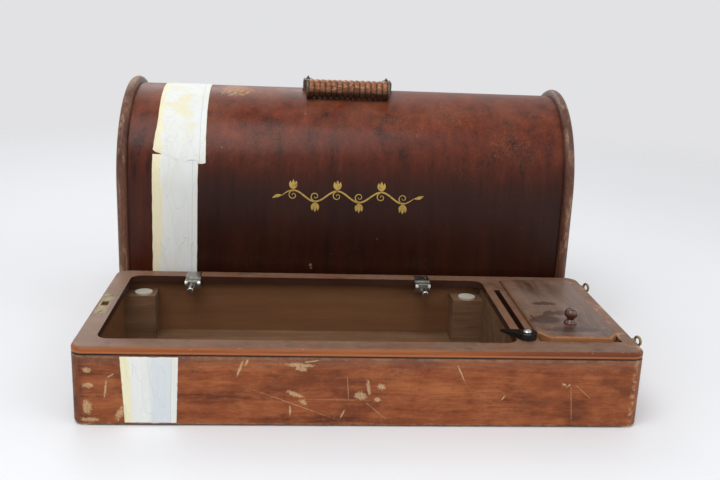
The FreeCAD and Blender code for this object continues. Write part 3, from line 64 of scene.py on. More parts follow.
def rgb(red, green, blue):
    """Scene colour of an sRGB colour given from 0 to 255."""
    def linear(level):
        level /= 255
        return level / 12.92 if level <= 0.04045 else ((level + 0.055) / 1.055) ** 2.4
    return (linear(red), linear(green), linear(blue), 1.0)


# Camera and light, solved from the straight edges of the photograph

EYE = Vector((-0.0614, -0.82725, 0.3677))
YAW, PITCH, ROLL = 4.29, 15.26, 2.26
LENS = 44.775


def make_camera():
    yaw, pitch, roll = math.radians(YAW), math.radians(PITCH), math.radians(ROLL)
    forward = Vector((math.sin(yaw) * math.cos(pitch), math.cos(yaw) * math.cos(pitch), -math.sin(pitch)))
    level = Vector((math.cos(yaw), -math.sin(yaw), 0))
    above = level.cross(forward)
    right = math.cos(roll) * level + math.sin(roll) * above
    up = -math.sin(roll) * level + math.cos(roll) * above
    data = bpy.data.cameras.new("camera")
    data.sensor_fit = "HORIZONTAL"
    data.sensor_width = 36
    data.lens = LENS
    data.clip_end = 50
    camera = bpy.data.objects.new("camera", data)
    bpy.context.scene.collection.objects.link(camera)
    turn = Matrix((right, up, -forward)).transposed().to_4x4()
    camera.matrix_world = Matrix.Translation(BASE * MM + EYE) @ turn
    bpy.context.scene.camera = camera


def area_light(name, place, target, width, power):
    data = bpy.data.lights.new(name, "AREA")
    data.shape = "SQUARE"
    data.size = width
    data.energy = power
    lamp = bpy.data.objects.new(name, data)
    bpy.context.scene.collection.objects.link(lamp)
    lamp.location = BASE * MM + Vector(place)
    lamp.rotation_euler = (Vector(target) - Vector(place)).to_track_quat("-Z", "Y").to_euler()


def make_studio():
    world = bpy.data.worlds.new("studio")
    bpy.context.scene.world = world
    world.use_nodes = True
    tree = world.node_tree
    tree.nodes.clear()
    out = tree.nodes.new("ShaderNodeOutputWorld")
    light, view = tree.nodes.new("ShaderNodeBackground"), tree.nodes.new("ShaderNodeBackground")
    mix, path = tree.nodes.new("ShaderNodeMixShader"), tree.nodes.new("ShaderNodeLightPath")
    seen, clear = tree.nodes.new("ShaderNodeMath"), tree.nodes.new("ShaderNodeMath")
    seen.operation = clear.operation = "MAXIMUM"
    light.inputs["Color"].default_value = (1.0, 1.0, 1.0, 1)
    light.inputs["Strength"].default_value = 0.55
    view.inputs["Color"].default_value = rgb(226, 226, 228)
    view.inputs["Strength"].default_value = 1.0
    tree.links.new(path.outputs["Is Camera Ray"], seen.inputs[0])
    tree.links.new(path.outputs["Is Glossy Ray"], seen.inputs[1])
    tree.links.new(seen.outputs[0], clear.inputs[0])
    tree.links.new(path.outputs["Is Transmission Ray"], clear.inputs[1])
    tree.links.new(clear.outputs[0], mix.inputs[0])
    tree.links.new(light.outputs[0], mix.inputs[1])
    tree.links.new(view.outputs[0], mix.inputs[2])
    tree.links.new(mix.outputs[0], out.inputs["Surface"])
    area_light("key", (-0.5, -0.9, 1.9), (0, 0.05, 0.05), 1.4, 21)
    area_light("fill", (1.3, -0.8, 1.1), (0, 0.1, 0.1), 1.2, 6)
    area_light("back", (-0.4, 1.5, 1.3), (0, 0.2, 0.1), 1.2, 6)
    bpy.context.scene.view_settings.view_transform = "Standard"


def make_floor():
    data = bpy.data.meshes.new("floor")
    half = 3.0
    corners = [(-half, -half, 0), (half, -half, 0), (half, half, 0), (-half, half, 0)]
    data.from_pydata(corners, [], [(0, 1, 2, 3)])
    floor = bpy.data.objects.new("floor", data)
    bpy.context.scene.collection.objects.link(floor)
    finish = Finish("floor_white")
    place = finish.place()
    tone = finish.noise(place, 0.004, 3)
    away = finish.node("ShaderNodeVectorMath", place, operation="LENGTH").outputs["Value"]
    finish.shade(finish.blend(tone, rgb(238, 240, 243), rgb(242, 244, 247)), 0.55,
                 Alpha=finish.ease(away, 2100, 700))
    floor.data.materials.append(finish.material)


# Finishes

class Finish:
    """One procedural material. Places are in millimetres from the middle of the base."""

    def __init__(self, name):
        self.material = bpy.data.materials.new(name)
        self.material.use_nodes = True
        self.tree = self.material.node_tree
        self.tree.nodes.clear()
        self.shader = self.tree.nodes.new("ShaderNodeBsdfPrincipled")
        out = self.tree.nodes.new("ShaderNodeOutputMaterial")
        self.tree.links.new(self.shader.outputs[0], out.inputs["Surface"])

    def put(self, socket, given):
        if isinstance(given, bpy.types.NodeSocket):
            self.tree.links.new(given, socket)
        else:
            socket.default_value = given

    def node(self, kind, *given, **settings):
        made = self.tree.nodes.new(kind)
        for key, setting in settings.items():
            setattr(made, key, setting)
        for index, value in enumerate(given):
            if value is not None:
                self.put(made.inputs[index], value)
        return made

    def place(self, cover=False):
        """Position on the object in millimetres, in the cover's own directions if asked."""
        socket = self.node("ShaderNodeTexCoord").outputs["Object"]
        if cover:
            turned = self.node("ShaderNodeMapping", socket, vector_type="TEXTURE")
            turned.inputs["Location"].default_value = (COVER_CENTRE[0] * MM, COVER_CENTRE[1] * MM, 0)
            turned.inputs["Rotation"].default_value = (0, 0, COVER_TURN)
            socket = turned.outputs[0]
        place = self.node("ShaderNodeVectorMath", socket, (1000, 1000, 1000), operation="MULTIPLY").outputs[0]
        return place if cover else self.shift(place, -BASE.x, -BASE.y, 0)

    def stretch(self, place, x, y, z):
        return self.node("ShaderNodeVectorMath", place, (x, y, z), operation="MULTIPLY").outputs[0]

    def shift(self, place, x, y, z):
        return self.node("ShaderNodeVectorMath", place, (x, y, z), operation="ADD").outputs[0]

    def warp(self, place, amount, scale):
        """Push places about by a slow noise."""
        wander = self.node("ShaderNodeTexNoise", place)
        wander.inputs["Scale"].default_value = scale
        wander.inputs["Detail"].default_value = 3
        centred = self.shift(wander.outputs["Color"], -0.5, -0.5, -0.5)
        pushed = self.stretch(centred, amount, amount, amount)
        return self.node("ShaderNodeVectorMath", place, pushed, operation="ADD").outputs[0]

    def parts(self, place):
        return self.node("ShaderNodeSeparateXYZ", place).outputs

    def join(self, x, y, z):
        return self.node("ShaderNodeCombineXYZ", x, y, z).outputs[0]

    def maths(self, operation, first, second=None, third=None):
        return self.node("ShaderNodeMath", first, second, third, operation=operation).outputs[0]

    def add(self, first, second):
        return self.maths("ADD", first, second)

    def times(self, first, second):
        return self.maths("MULTIPLY", first, second)

    def most(self, *masks):
        total = masks[0]
        for mask in masks[1:]:
            total = self.maths("MAXIMUM", total, mask)
        return total

    def least(self, first, second):
        return self.maths("MINIMUM", first, second)

    def opposite(self, mask):
        return self.maths("SUBTRACT", 1.0, mask)

    def ease(self, value, low, high):
        """0 below low and 1 above high, or the other way round."""
        made = self.node("ShaderNodeMapRange", value, interpolation_type="SMOOTHSTEP")
        if low <= high:
            ends = (low, high, 0.0, 1.0)
        else:
            ends = (high, low, 1.0, 0.0)
        for index, end in enumerate(ends, 1):
            made.inputs[index].default_value = end
        return made.outputs[0]

    def noise(self, place, scale, detail=4, rough=0.5, bend=0.0):
        made = self.node("ShaderNodeTexNoise", place)
        made.inputs["Scale"].default_value = scale
        made.inputs["Detail"].default_value = detail
        made.inputs["Roughness"].default_value = rough
        made.inputs["Distortion"].default_value = bend
        return made.outputs["Fac"]

    def cells(self, place, scale, feature="F1"):
        made = self.node("ShaderNodeTexVoronoi", place, feature=feature)
        made.inputs["Scale"].default_value = scale
        return made.outputs["Distance"]

    def blend(self, factor, first, second):
        made = self.node("ShaderNodeMix", data_type="RGBA")
        self.put(made.inputs[0], factor)
        self.put(made.inputs[6], first)
        self.put(made.inputs[7], second)
        return made.outputs[2]

    def lines(self, place, scale, angle, seed, long=0.02):
        """Thin scratches: narrow ridges of a noise stretched along one direction of the XZ plane."""
        turned = self.node("ShaderNodeMapping", place)
        turned.inputs["Location"].default_value = (seed, seed * 0.7, seed * 0.3)
        turned.inputs["Rotation"].default_value = (0, angle, angle * 0.6)
        flat = self.stretch(turned.outputs[0], scale * long, scale, scale)
        field = self.noise(flat, 1.0, 2, 0.4)
        ridge = self.maths("ABSOLUTE", self.maths("SUBTRACT", field, 0.5))
        return self.ease(ridge, 0.004, 0.0)

    def either(self, mask, first, second):
        """The first place where the mask is 0 and the second where it is 1."""
        made = self.node("ShaderNodeMix", data_type="VECTOR")
        self.put(made.inputs[0], mask)
        self.put(made.inputs[4], first)
        self.put(made.inputs[5], second)
        return made.outputs[1]

    def from_arch_axis(self, y, z):
        """Distance from the axis of the cover's arch, and from its middle plane below the arch."""
        rise = self.maths("MAXIMUM", self.add(z, -SPRING), 0.0)
        return self.maths("SQRT", self.add(self.times(y, y), self.times(rise, rise)))

    def bump(self, height, strength, depth=0.001):
        made = self.node("ShaderNodeBump")
        made.inputs["Strength"].default_value = strength
        made.inputs["Distance"].default_value = depth
        self.put(made.inputs["Height"], height)
        self.put(self.shader.inputs["Normal"], made.outputs[0])

    def shade(self, colour, rough, metal=0.0, **more):
        self.put(self.shader.inputs["Base Color"], colour)
        self.put(self.shader.inputs["Roughness"], rough)
        self.put(self.shader.inputs["Metallic"], metal)
        for key, value in more.items():
            self.put(self.shader.inputs[key.replace("_", " ")], value)
        return self.material

    def grain(self, place, along, dark, middle, light, seed=0.0):
        """Mahogany: broad ribbons of tone, fine streaks and short dark pores along one axis."""
        slow = {"x": (0.06, 1, 1), "y": (1, 0.06, 1), "z": (1, 1, 0.06)}[along]
        fine = {"x": (0.03, 1, 1), "y": (1, 0.03, 1), "z": (1, 1, 0.03)}[along]
        place = self.shift(place, seed, seed * 1.3, seed * 0.7)
        bent = self.warp(place, 14, 0.012)
        ribbons = self.noise(self.stretch(bent, *slow), 0.09, 3, 0.55)
        streaks = self.noise(self.stretch(bent, *fine), 0.55, 5, 0.65)
        hairs = self.noise(self.stretch(place, *fine), 2.6, 3, 0.6)
        pores = self.ease(hairs, 0.38, 0.30)
        clouds = self.noise(place, 0.02, 4, 0.55)
        tone = self.add(self.times(ribbons, 0.45),
                        self.add(self.times(streaks, 0.35), self.times(clouds, 0.3)))
        low = self.blend(self.ease(tone, 0.38, 0.56), dark, middle)
        colour = self.blend(self.ease(tone, 0.54, 0.74), low, light)
        colour = self.blend(self.times(pores, 0.45), colour, dark)
        height = self.add(self.times(streaks, 0.3), self.times(pores, -0.5))
        return colour, height, tone


def spot(finish, place, edge, x, z, wide, high, turn=0.0, ragged=0.6):
    """Mask of one ragged spot on a face that looks along Y. The edge is a noise that many spots share."""
    made = finish.node("ShaderNodeMapping", place, vector_type="TEXTURE")
    made.inputs["Location"].default_value = (x, 0, z)
    made.inputs["Rotation"].default_value = (0, math.radians(turn), 0)
    made.inputs["Scale"].default_value = (wide / 2, 1, high / 2)
    flat = finish.stretch(made.outputs[0], 1, 0, 1)
    away = finish.node("ShaderNodeVectorMath", flat, operation="LENGTH").outputs["Value"]
    reach = finish.maths("MULTIPLY_ADD", edge, ragged * 4, away)
    return finish.ease(reach, 1.0 + ragged * 2, 0.75 + ragged * 2)


BARE = rgb(196, 150, 104)
GREY_DIRT = rgb(104, 96, 88)
RAW_WOOD = (rgb(92, 60, 38), rgb(150, 110, 74))


def worn(finish, colour, rough, mask, bare=BARE, rough_bare=0.62):
    """Show bare wood through the varnish where a mask is set."""
    return finish.blend(mask, colour, bare), finish.add(rough, finish.times(mask, rough_bare - 0.42))


def side_of(finish):
    """How far a surface faces up, towards the front and to the right, each from -1 to 1."""
    return finish.parts(finish.node("ShaderNodeNewGeometry").outputs["Normal"])


def box_wood():
    """Red-brown boards of the base box, chipped on the front and rubbed at the edges."""
    finish = Finish("box_wood")
    place = finish.place()
    x, y, z = finish.parts(place)
    ends = finish.ease(finish.maths("ABSOLUTE", x), 243, 246)
    turned = finish.either(ends, place, finish.join(y, x, z))
    colour, height, tone = finish.grain(turned, "x", rgb(84, 40, 24), rgb(139, 73, 40), rgb(174, 103, 60))
    mottle = finish.noise(finish.stretch(turned, 0.45, 1, 1), 0.16, 6, 0.72)
    colour = finish.blend(finish.times(finish.ease(mottle, 0.46, 0.68), 0.5), colour, rgb(172, 104, 62))
    colour = finish.blend(finish.times(finish.ease(mottle, 0.46, 0.30), 0.45), colour, rgb(88, 42, 22))
    clouds = finish.noise(finish.stretch(turned, 0.5, 1, 1), 0.05, 5, 0.6)
    colour = finish.blend(finish.times(finish.ease(clouds, 0.50, 0.34), 0.5), colour, rgb(84, 38, 22))
    rough = finish.add(0.40, finish.times(finish.noise(place, 0.05, 4), 0.16))

    stains = finish.ease(finish.noise(finish.stretch(place, 0.5, 1, 1), 0.045, 4, 0.6), 0.60, 0.78)
    colour = finish.blend(finish.times(stains, 0.5), colour, rgb(66, 34, 22))
    haze = finish.ease(z, 52, 66)
    colour = finish.blend(finish.times(haze, 0.28), colour, GREY_DIRT)
    corner = finish.ease(x, -236, -251)
    colour = finish.blend(finish.times(corner, 0.55), colour, rgb(58, 30, 20))

    edge = finish.noise(place, 0.7, 5, 0.75)
    chips = 0.0
    for cx, cz, wide, high, turn in (
            (-236, 52, 8, 5, 0), (-235.5, 38, 10, 5, 0), (-237, 18, 8, 14, 0), (-236, 6, 18, 4, 0),
            (-221, 35, 1.8, 17, 8), (-216.5, 47, 9, 1.5, -30), (-209.5, 12, 6, 15, 25),
            (-106.5, 55, 2.6, 16, 20), (-101, 60, 2.2, 7, 20), (-56, 58.5, 26, 4, 4), (-54, 55, 12, 5, 10),
            (-45, 62, 16, 1.6, -8), (-59, 31, 15, 4.5, 20), (-52, 24, 8, 5, 35), (-1.7, 30, 11, 9, 0),
            (5, 38, 3.4, 15, -10), (16.5, 38.5, 7, 6, 20), (13.5, 26.5, 6, 4, 0), (-63, 16, 1.8, 10, 0),
            (-17, 12.5, 1.8, 10, 25), (86, 52, 1.4, 20, -25), (125.5, 29.5, 1.6, 6, 35),
            (179, 42, 5, 2.0, 30), (183, 41, 4, 1.8, -40),
            (-61, 22, 82, 0.5, 21), (-18, 26, 60, 0.45, 0), (12, 16, 25, 0.5, 41), (-13, 38, 0.55, 26, -5),
            (197, 35, 22, 0.5, 42), (187, 23, 0.5, 46, -6)):
        chips = finish.most(spot(finish, place, edge, cx, cz, wide, high, turn, 0.75), chips)
    crumbs = finish.ease(finish.noise(place, 0.55, 6, 0.75), 0.34, 0.50)
    chips = finish.times(chips, finish.add(0.25, finish.times(crumbs, 0.75)))
    chips = finish.times(chips, finish.ease(y, -108, -109.3))
    speck = finish.ease(finish.noise(finish.stretch(place, 0.6, 1, 1), 0.9, 5, 0.75), 0.63, 0.72)
    speck = finish.times(speck, finish.ease(finish.noise(place, 0.03, 3), 0.42, 0.60))
    scratch = finish.most(finish.lines(place, 0.22, 0.35, 3.1), finish.lines(place, 0.3, 1.2, 9.7),
                          finish.lines(place, 0.25, -0.6, 17.3))
    scratch = finish.times(scratch, finish.ease(finish.noise(place, 0.02, 2), 0.5, 0.65))
    rag = finish.times(finish.noise(place, 0.12, 4, 0.7), 7)
    bottom = finish.ease(finish.add(z, rag), 7.5, 4.2)
    right = finish.ease(finish.add(finish.maths("ABSOLUTE", finish.add(x, -243)), rag), 7.2, 3.6)
    rub = finish.times(finish.most(bottom, right), finish.ease(finish.noise(place, 0.2, 5, 0.7), 0.42, 0.6))
    bare = finish.most(finish.times(chips, 0.78), finish.times(speck, 0.5), finish.times(scratch, 0.45),
                       finish.times(rub, 0.62))
    colour, rough = worn(finish, colour, rough, bare, rgb(202, 168, 126))
    lip = finish.times(finish.ease(z, 62.4, 63.6), finish.ease(finish.noise(place, 0.12, 4, 0.7), 0.44, 0.58))
    colour = finish.blend(finish.times(lip, 0.4), colour, rgb(150, 128, 104))
    # Painted shade in the groove where the box meets the deck.
    groove_shade = finish.ease(z, 64.6, 65.7)
    colour = finish.blend(finish.times(groove_shade, 0.85), colour, rgb(42, 30, 24))
    inside = finish.ease(finish.most(finish.maths("ABSOLUTE", finish.times(x, 0.4055)),
                                     finish.maths("ABSOLUTE", y)), 96.9, 96.6)
    colour = finish.blend(inside, colour, finish.blend(tone, rgb(84, 52, 34), rgb(138, 98, 66)))
    height = finish.add(height, finish.times(bare, -1.2))
    finish.bump(height, 0.35, 0.0006)
    return finish.shade(colour, rough, Coat_Weight=0.04, Coat_Roughness=0.3, Specular_IOR_Level=0.18)


def deck_wood():
    """Deck frame: worn grey-brown on top, orange-brown round the nose."""
    finish = Finish("deck_wood")
    place = finish.place()
    x, y, z = finish.parts(place)
    middle = finish.times(finish.ease(finish.maths("ABSOLUTE", y), 90.4, 90.0),
                          finish.ease(finish.maths("ABSOLUTE", x), 120, 130))
    turned = finish.either(middle, place, finish.join(y, x, z))
    colour, height, _ = finish.grain(turned, "x", rgb(82, 46, 30), rgb(128, 82, 56), rgb(156, 108, 76), 40)
    up = side_of(finish)[2]
    top = finish.ease(up, 0.75, 0.97)
    dust = finish.ease(finish.noise(finish.stretch(place, 0.5, 0.5, 1), 0.06, 5, 0.6), 0.36, 0.62)
    grey = finish.blend(finish.noise(place, 0.12, 5, 0.65), rgb(82, 60, 48), rgb(138, 112, 95))
    colour = finish.blend(finish.times(top, finish.add(0.42, finish.times(dust, 0.38))), colour, grey)
    pale = finish.times(finish.times(top, finish.ease(x, -212, -234)), 0.45)
    colour = finish.blend(pale, colour, rgb(152, 129, 114))
    dark = finish.ease(finish.noise(place, 0.035, 4, 0.6), 0.56, 0.72)
    colour = finish.blend(finish.times(finish.times(top, dark), 0.5), colour, rgb(62, 42, 32))
    outside = finish.ease(finish.most(finish.times(finish.maths("ABSOLUTE", x), 0.4363),
                                      finish.maths("ABSOLUTE", y)), 103.5, 105.5)
    nose = finish.times(finish.times(finish.opposite(top), finish.ease(z, 66.5, 68)), outside)
    streaks = finish.noise(finish.stretch(place, 0.05, 1, 1), 0.5, 4)
    ruddy = finish.blend(streaks, rgb(118, 60, 30), rgb(176, 102, 54))
    ruddy = finish.blend(finish.times(finish.ease(x, 60, 170), 0.75), ruddy, rgb(92, 40, 24))
    # Painted highlight: a thin bright orange line along the lower part of the nose.
    foot = finish.times(finish.ease(z, 66.6, 67.2), finish.ease(z, 69.4, 68.2))
    ruddy = finish.blend(finish.times(foot, 0.7), ruddy, rgb(184, 110, 64))
    colour = finish.blend(finish.times(nose, 0.95), colour, ruddy)
    # Painted shade on the inward faces of the machine well and the slot.
    inner = finish.times(finish.opposite(top), finish.opposite(outside))
    colour = finish.blend(finish.times(inner, 0.92), colour, rgb(48, 25, 18))
    bite = finish.ease(finish.noise(place, 0.22, 5, 0.7), 0.60, 0.68)
    rim = finish.times(finish.ease(up, 0.25, 0.6), finish.ease(up, 0.99, 0.85))
    bare = finish.times(bite, finish.times(rim, 0.75))
    right_end = finish.times(finish.ease(x, 232, 240),
                             finish.ease(finish.noise(place, 0.07, 4, 0.6), 0.52, 0.62))
    bare = finish.most(bare, finish.times(right_end, 0.65))
    scratch = finish.most(finish.lines(finish.join(x, z, y), 0.3, 0.5, 2.2),
                          finish.lines(finish.join(x, z, y), 0.26, -0.9, 12.4))
    bare = finish.most(bare, finish.times(scratch, finish.times(top, 0.35)))
    rough = finish.add(0.36, finish.times(dust, 0.2))
    colour, rough = worn(finish, colour, rough, bare, rgb(190, 146, 108))
    # Painted shade beneath the deck's overhanging nose.
    shade_below_nose = finish.ease(z, 67.2, 66.2)
    colour = finish.blend(finish.times(shade_below_nose, 0.7), colour, rgb(48, 32, 26))
    finish.bump(finish.add(height, finish.times(bare, -0.8)), 0.3, 0.0006)
    return finish.shade(colour, rough, Coat_Weight=0.05, Coat_Roughness=0.25, Specular_IOR_Level=0.2)


def inner_wood():
    """Plain dusty wood inside the box and the cover."""
    finish = Finish("inner_wood")
    place = finish.place()
    colour, height, _ = finish.grain(place, "x", rgb(74, 48, 32), rgb(112, 78, 52), rgb(140, 102, 70), 90)
    dust = finish.noise(place, 0.03, 4)
    colour = finish.blend(finish.times(dust, 0.35), colour, rgb(120, 108, 94))
    finish.bump(height, 0.4, 0.0006)
    return finish.shade(colour, finish.add(0.6, finish.times(dust, 0.2)), Specular_IOR_Level=0.15)


def lid_wood():
    """Accessory lid: faded top with dark stains, and edges rubbed to bright orange wood."""
    finish = Finish("lid_wood")
    place = finish.place()
    x, y, z = finish.parts(place)
    colour, height, _ = finish.grain(finish.join(y, x, z), "x", rgb(74, 48, 36), rgb(112, 84, 68),
                                     rgb(138, 110, 92), 150)
    haze = finish.ease(finish.noise(place, 0.025, 4, 0.55), 0.35, 0.65)
    colour = finish.blend(finish.times(haze, 0.5), colour, rgb(124, 106, 94))
    ground = finish.join(x, z, y)
    edge = finish.noise(place, 0.2, 4, 0.7)
    stains = finish.most(spot(finish, ground, edge, 188, 8, 26, 12, 0, 0.35),
                         spot(finish, ground, edge, 178, -38, 34, 26),
                         spot(finish, ground, edge, 196, -20, 40, 14),
                         spot(finish, ground, edge, 200, -64, 60, 16))
    front = finish.times(finish.ease(y, -10, -62), 0.55)
    front = finish.times(front, finish.ease(finish.noise(place, 0.04, 4, 0.6), 0.36, 0.6))
    colour = finish.blend(front, colour, rgb(74, 40, 28))
    patches = finish.ease(finish.noise(place, 0.05, 4, 0.65), 0.58, 0.70)
    dark = finish.times(finish.most(stains, finish.times(patches, 0.5)), 0.72)
    colour = finish.blend(dark, colour, rgb(56, 34, 28))
    to_side = finish.maths("SUBTRACT", 37.2, finish.maths("ABSOLUTE", finish.add(x, -199)))
    to_front = finish.add(y, 83.4)
    clip = finish.add(finish.times(to_side, 13), finish.add(finish.times(to_front, 9), -117))
    clip = finish.times(clip, 0.0632)
    rag = finish.times(finish.add(finish.noise(place, 0.25, 5, 0.7), -0.5), 5)
    near = finish.add(finish.least(finish.least(to_side, to_front), clip), rag)
    front_near = finish.add(finish.least(to_front, clip), rag)
    rub = finish.most(finish.times(finish.ease(near, 1.0, 0.2), 0.3),
                      finish.times(finish.ease(front_near, 2.0, 0.6), 0.85))
    up = side_of(finish)[2]
    faces = finish.times(finish.ease(up, 0.8, 0.5), finish.ease(z, 74.2, 75.6))
    faces = finish.times(faces, finish.ease(to_front, 14, 8))
    orange = finish.noise(finish.stretch(place, 0.2, 0.2, 1), 0.8, 5, 0.7)
    orange = finish.blend(orange, rgb(126, 72, 38), rgb(196, 134, 80))
    colour = finish.blend(finish.most(rub, faces), colour, orange)
    dark_line = finish.times(faces, finish.ease(z, 70.2, 69.2))
    colour = finish.blend(finish.times(dark_line, 0.8), colour, rgb(66, 40, 26))
    rough = finish.add(0.34, finish.times(haze, 0.16))
    rough = finish.add(rough, finish.times(rub, 0.25))
    finish.bump(finish.add(height, finish.times(rub, -0.6)), 0.3, 0.0006)
    return finish.shade(colour, rough, Coat_Weight=0.10, Coat_Roughness=0.14, Specular_IOR_Level=0.25)


def shell_wood():
    """Bent shell: glossy red-brown with painted shadow low down, hazy and scratched over the crown, where a
    painted highlight is mixed into the haze.
    """
    finish = Finish("shell_wood")
    place = finish.place(cover=True)
    x, y, z = finish.parts(place)
    colour, height, tone = finish.grain(finish.join(z, y, x), "x", rgb(46, 18, 10), rgb(98, 40, 21),
                                        rgb(128, 58, 32), 210)
    # Painted shadow: the shell darkens low down, a little less towards the left end.
    low = finish.ease(z, 238, 150)
    left = finish.ease(x, -195, -215)
    low = finish.times(low, finish.add(0.86, finish.times(left, -0.22)))
    colour = finish.blend(low, colour, rgb(30, 13, 8))
    # Lighter hazy patches over the crown: partly worn varnish, partly a painted highlight.
    haze = finish.times(finish.ease(z, 218, 254), finish.ease(finish.noise(place, 0.02, 4, 0.6), 0.30, 0.62))
    colour = finish.blend(finish.times(haze, 0.30), colour, rgb(142, 98, 78))
    scratch = finish.most(finish.lines(place, 0.22, 0.9, 4.4), finish.lines(place, 0.26, -0.7, 14.2),
                          finish.lines(place, 0.2, 2.2, 25.1))
    scratch = finish.times(scratch, finish.ease(finish.noise(place, 0.018, 2), 0.46, 0.62))
    scratch = finish.times(scratch, finish.add(0.15, finish.times(finish.ease(z, 170, 230), 0.75)))
    patch = spot(finish, place, finish.noise(place, 0.16, 5, 0.75), -128, 259, 34, 9, 0, 0.9)
    back_edge = finish.add(y, finish.times(finish.noise(place, 0.1, 4, 0.7), 24))
    patch = finish.times(patch, finish.ease(back_edge, 30, 14))
    patch = finish.times(patch, finish.ease(finish.noise(place, 0.22, 5, 0.75), 0.36, 0.56))
    speck = finish.times(finish.ease(finish.cells(place, 0.05), 0.12, 0.05),
                         finish.ease(finish.noise(place, 0.04, 3), 0.56, 0.66))
    bare = finish.most(finish.times(scratch, 0.5), finish.times(patch, 0.6), finish.times(speck, 0.35))
    rough = finish.add(0.30, finish.times(haze, 0.16))
    colour, rough = worn(finish, colour, rough, bare)
    away = finish.from_arch_axis(y, z)
    inner = finish.ease(away, 98.0, 97.0)
    raw = finish.blend(tone, *RAW_WOOD)
    colour = finish.blend(inner, colour, raw)
    rough = finish.add(rough, finish.times(inner, 0.3))
    finish.bump(finish.add(height, finish.times(bare, -0.8)), 0.2, 0.0005)
    return finish.shade(colour, rough, Coat_Weight=0.06, Coat_Roughness=0.2, Specular_IOR_Level=0.18)


def rim_wood():
    """Half-round rims: dark varnish, worn light in streaks along the crest."""
    finish = Finish("rim_wood")
    place = finish.place(cover=True)
    x, y, z = finish.parts(place)
    colour, height, _ = finish.grain(finish.join(z, y, x), "x", rgb(54, 33, 26), rgb(96, 62, 49),
                                     rgb(124, 87, 69), 300)
    away = finish.from_arch_axis(y, z)
    crest = finish.ease(away, 103.5, 106)
    patches = finish.ease(finish.noise(finish.stretch(place, 1, 0.35, 0.35), 0.09, 5, 0.7), 0.47, 0.62)
    rub = finish.times(crest, patches)
    ridge = finish.times(finish.ease(away, 101.5, 104),
                         finish.ease(finish.noise(place, 0.3, 4, 0.7), 0.6, 0.68))
    colour = finish.blend(finish.times(rub, 0.6), colour, rgb(176, 140, 110))
    colour = finish.blend(finish.times(ridge, 0.5), colour, rgb(160, 116, 82))
    # Painted shade in the gap where the rim meets the shell.
    shade_at_rim_gap = finish.ease(away, 101.2, 99.4)
    colour = finish.blend(finish.times(shade_at_rim_gap, 0.7), colour, rgb(40, 24, 18))
    rough = finish.add(0.34, finish.times(rub, 0.2))
    finish.bump(finish.add(height, finish.times(rub, -0.6)), 0.3, 0.0006)
    return finish.shade(colour, rough, Coat_Weight=0.08, Coat_Roughness=0.2, Specular_IOR_Level=0.2)


def panel_wood():
    """End boards of the cover, grain upright, scratched near the foot."""
    finish = Finish("panel_wood")
    place = finish.place(cover=True)
    x, y, z = finish.parts(place)
    colour, height, tone = finish.grain(finish.join(y, x, z), "x", rgb(62, 28, 17), rgb(108, 54, 33),
                                        rgb(134, 74, 47), 410)
    flat = finish.join(y, x, z)
    scratch = finish.most(finish.lines(flat, 0.25, 0.5, 6.0), finish.lines(flat, 0.22, -1.0, 16.0))
    scratch = finish.times(scratch, finish.ease(finish.noise(place, 0.02, 2), 0.46, 0.6))
    foot = finish.add(z, finish.times(finish.noise(place, 0.1, 4, 0.7), 8))
    foot = finish.times(finish.ease(foot, 9, 4), 0.6)
    inner = finish.ease(finish.maths("ABSOLUTE", x), 238.2, 237.4)
    outer = finish.opposite(inner)
    bare = finish.times(finish.most(finish.times(scratch, 0.5), foot), outer)
    colour, rough = worn(finish, colour, 0.36, bare)
    raw = finish.blend(tone, *RAW_WOOD)
    colour = finish.blend(inner, colour, raw)
    rough = finish.add(rough, finish.times(inner, 0.3))
    finish.bump(finish.add(height, finish.times(bare, -0.8)), 0.25, 0.0005)
    return finish.shade(colour, rough, Coat_Weight=0.06, Coat_Roughness=0.2, Specular_IOR_Level=0.2)


def grip_wood():
    """Turned grip: orange-brown ring crests, with painted shade in the grooves between them and on the
    underside.
    """
    finish = Finish("grip_wood")
    place = finish.place(cover=True)
    x = finish.parts(place)[0]
    colour, height, tone = finish.grain(place, "x", rgb(70, 32, 16), rgb(138, 78, 44), rgb(186, 122, 76), 520)
    along = finish.times(finish.add(x, 45.4), 14 / 88.4)
    wave = finish.maths("COSINE", finish.times(along, 2 * math.pi))
    groove_shade = finish.ease(wave, 0.15, 0.95)
    mottle = finish.noise(finish.stretch(place, 0.5, 1, 1), 0.34, 5, 0.7)
    colour = finish.blend(finish.times(finish.ease(mottle, 0.50, 0.64), 0.75), colour, rgb(192, 142, 84))
    colour = finish.blend(finish.times(finish.ease(mottle, 0.48, 0.34), 0.75), colour, rgb(82, 38, 20))
    # Painted shade in the grooves between the rings.
    colour = finish.blend(finish.times(groove_shade, 0.55), colour, rgb(48, 24, 14))
    # Painted shade on the downward-facing underside of the grip.
    down = side_of(finish)[2]
    colour = finish.blend(finish.times(finish.ease(down, 0.2, -0.45), 0.85), colour, rgb(26, 17, 11))
    rough = finish.add(0.24, finish.times(tone, 0.2))
    finish.bump(height, 0.25, 0.0005)
    return finish.shade(colour, rough, Coat_Weight=0.2, Coat_Roughness=0.12, Specular_IOR_Level=0.3)


def knob_wood():
    finish = Finish("knob_wood")
    place = finish.place()
    colour, height, tone = finish.grain(place, "z", rgb(38, 17, 10), rgb(82, 40, 22), rgb(118, 66, 38), 610)
    finish.bump(height, 0.2, 0.0004)
    rough = finish.add(0.22, finish.times(tone, 0.18))
    return finish.shade(colour, rough, Coat_Weight=0.4, Coat_Roughness=0.1)


def felt():
    finish = Finish("felt")
    place = finish.place()
    fibre = finish.noise(place, 1.6, 6, 0.75, 0.8)
    colour = finish.blend(fibre, rgb(150, 140, 122), rgb(206, 198, 182))
    finish.bump(fibre, 0.6, 0.0006)
    return finish.shade(colour, 0.95, Sheen_Weight=0.3)


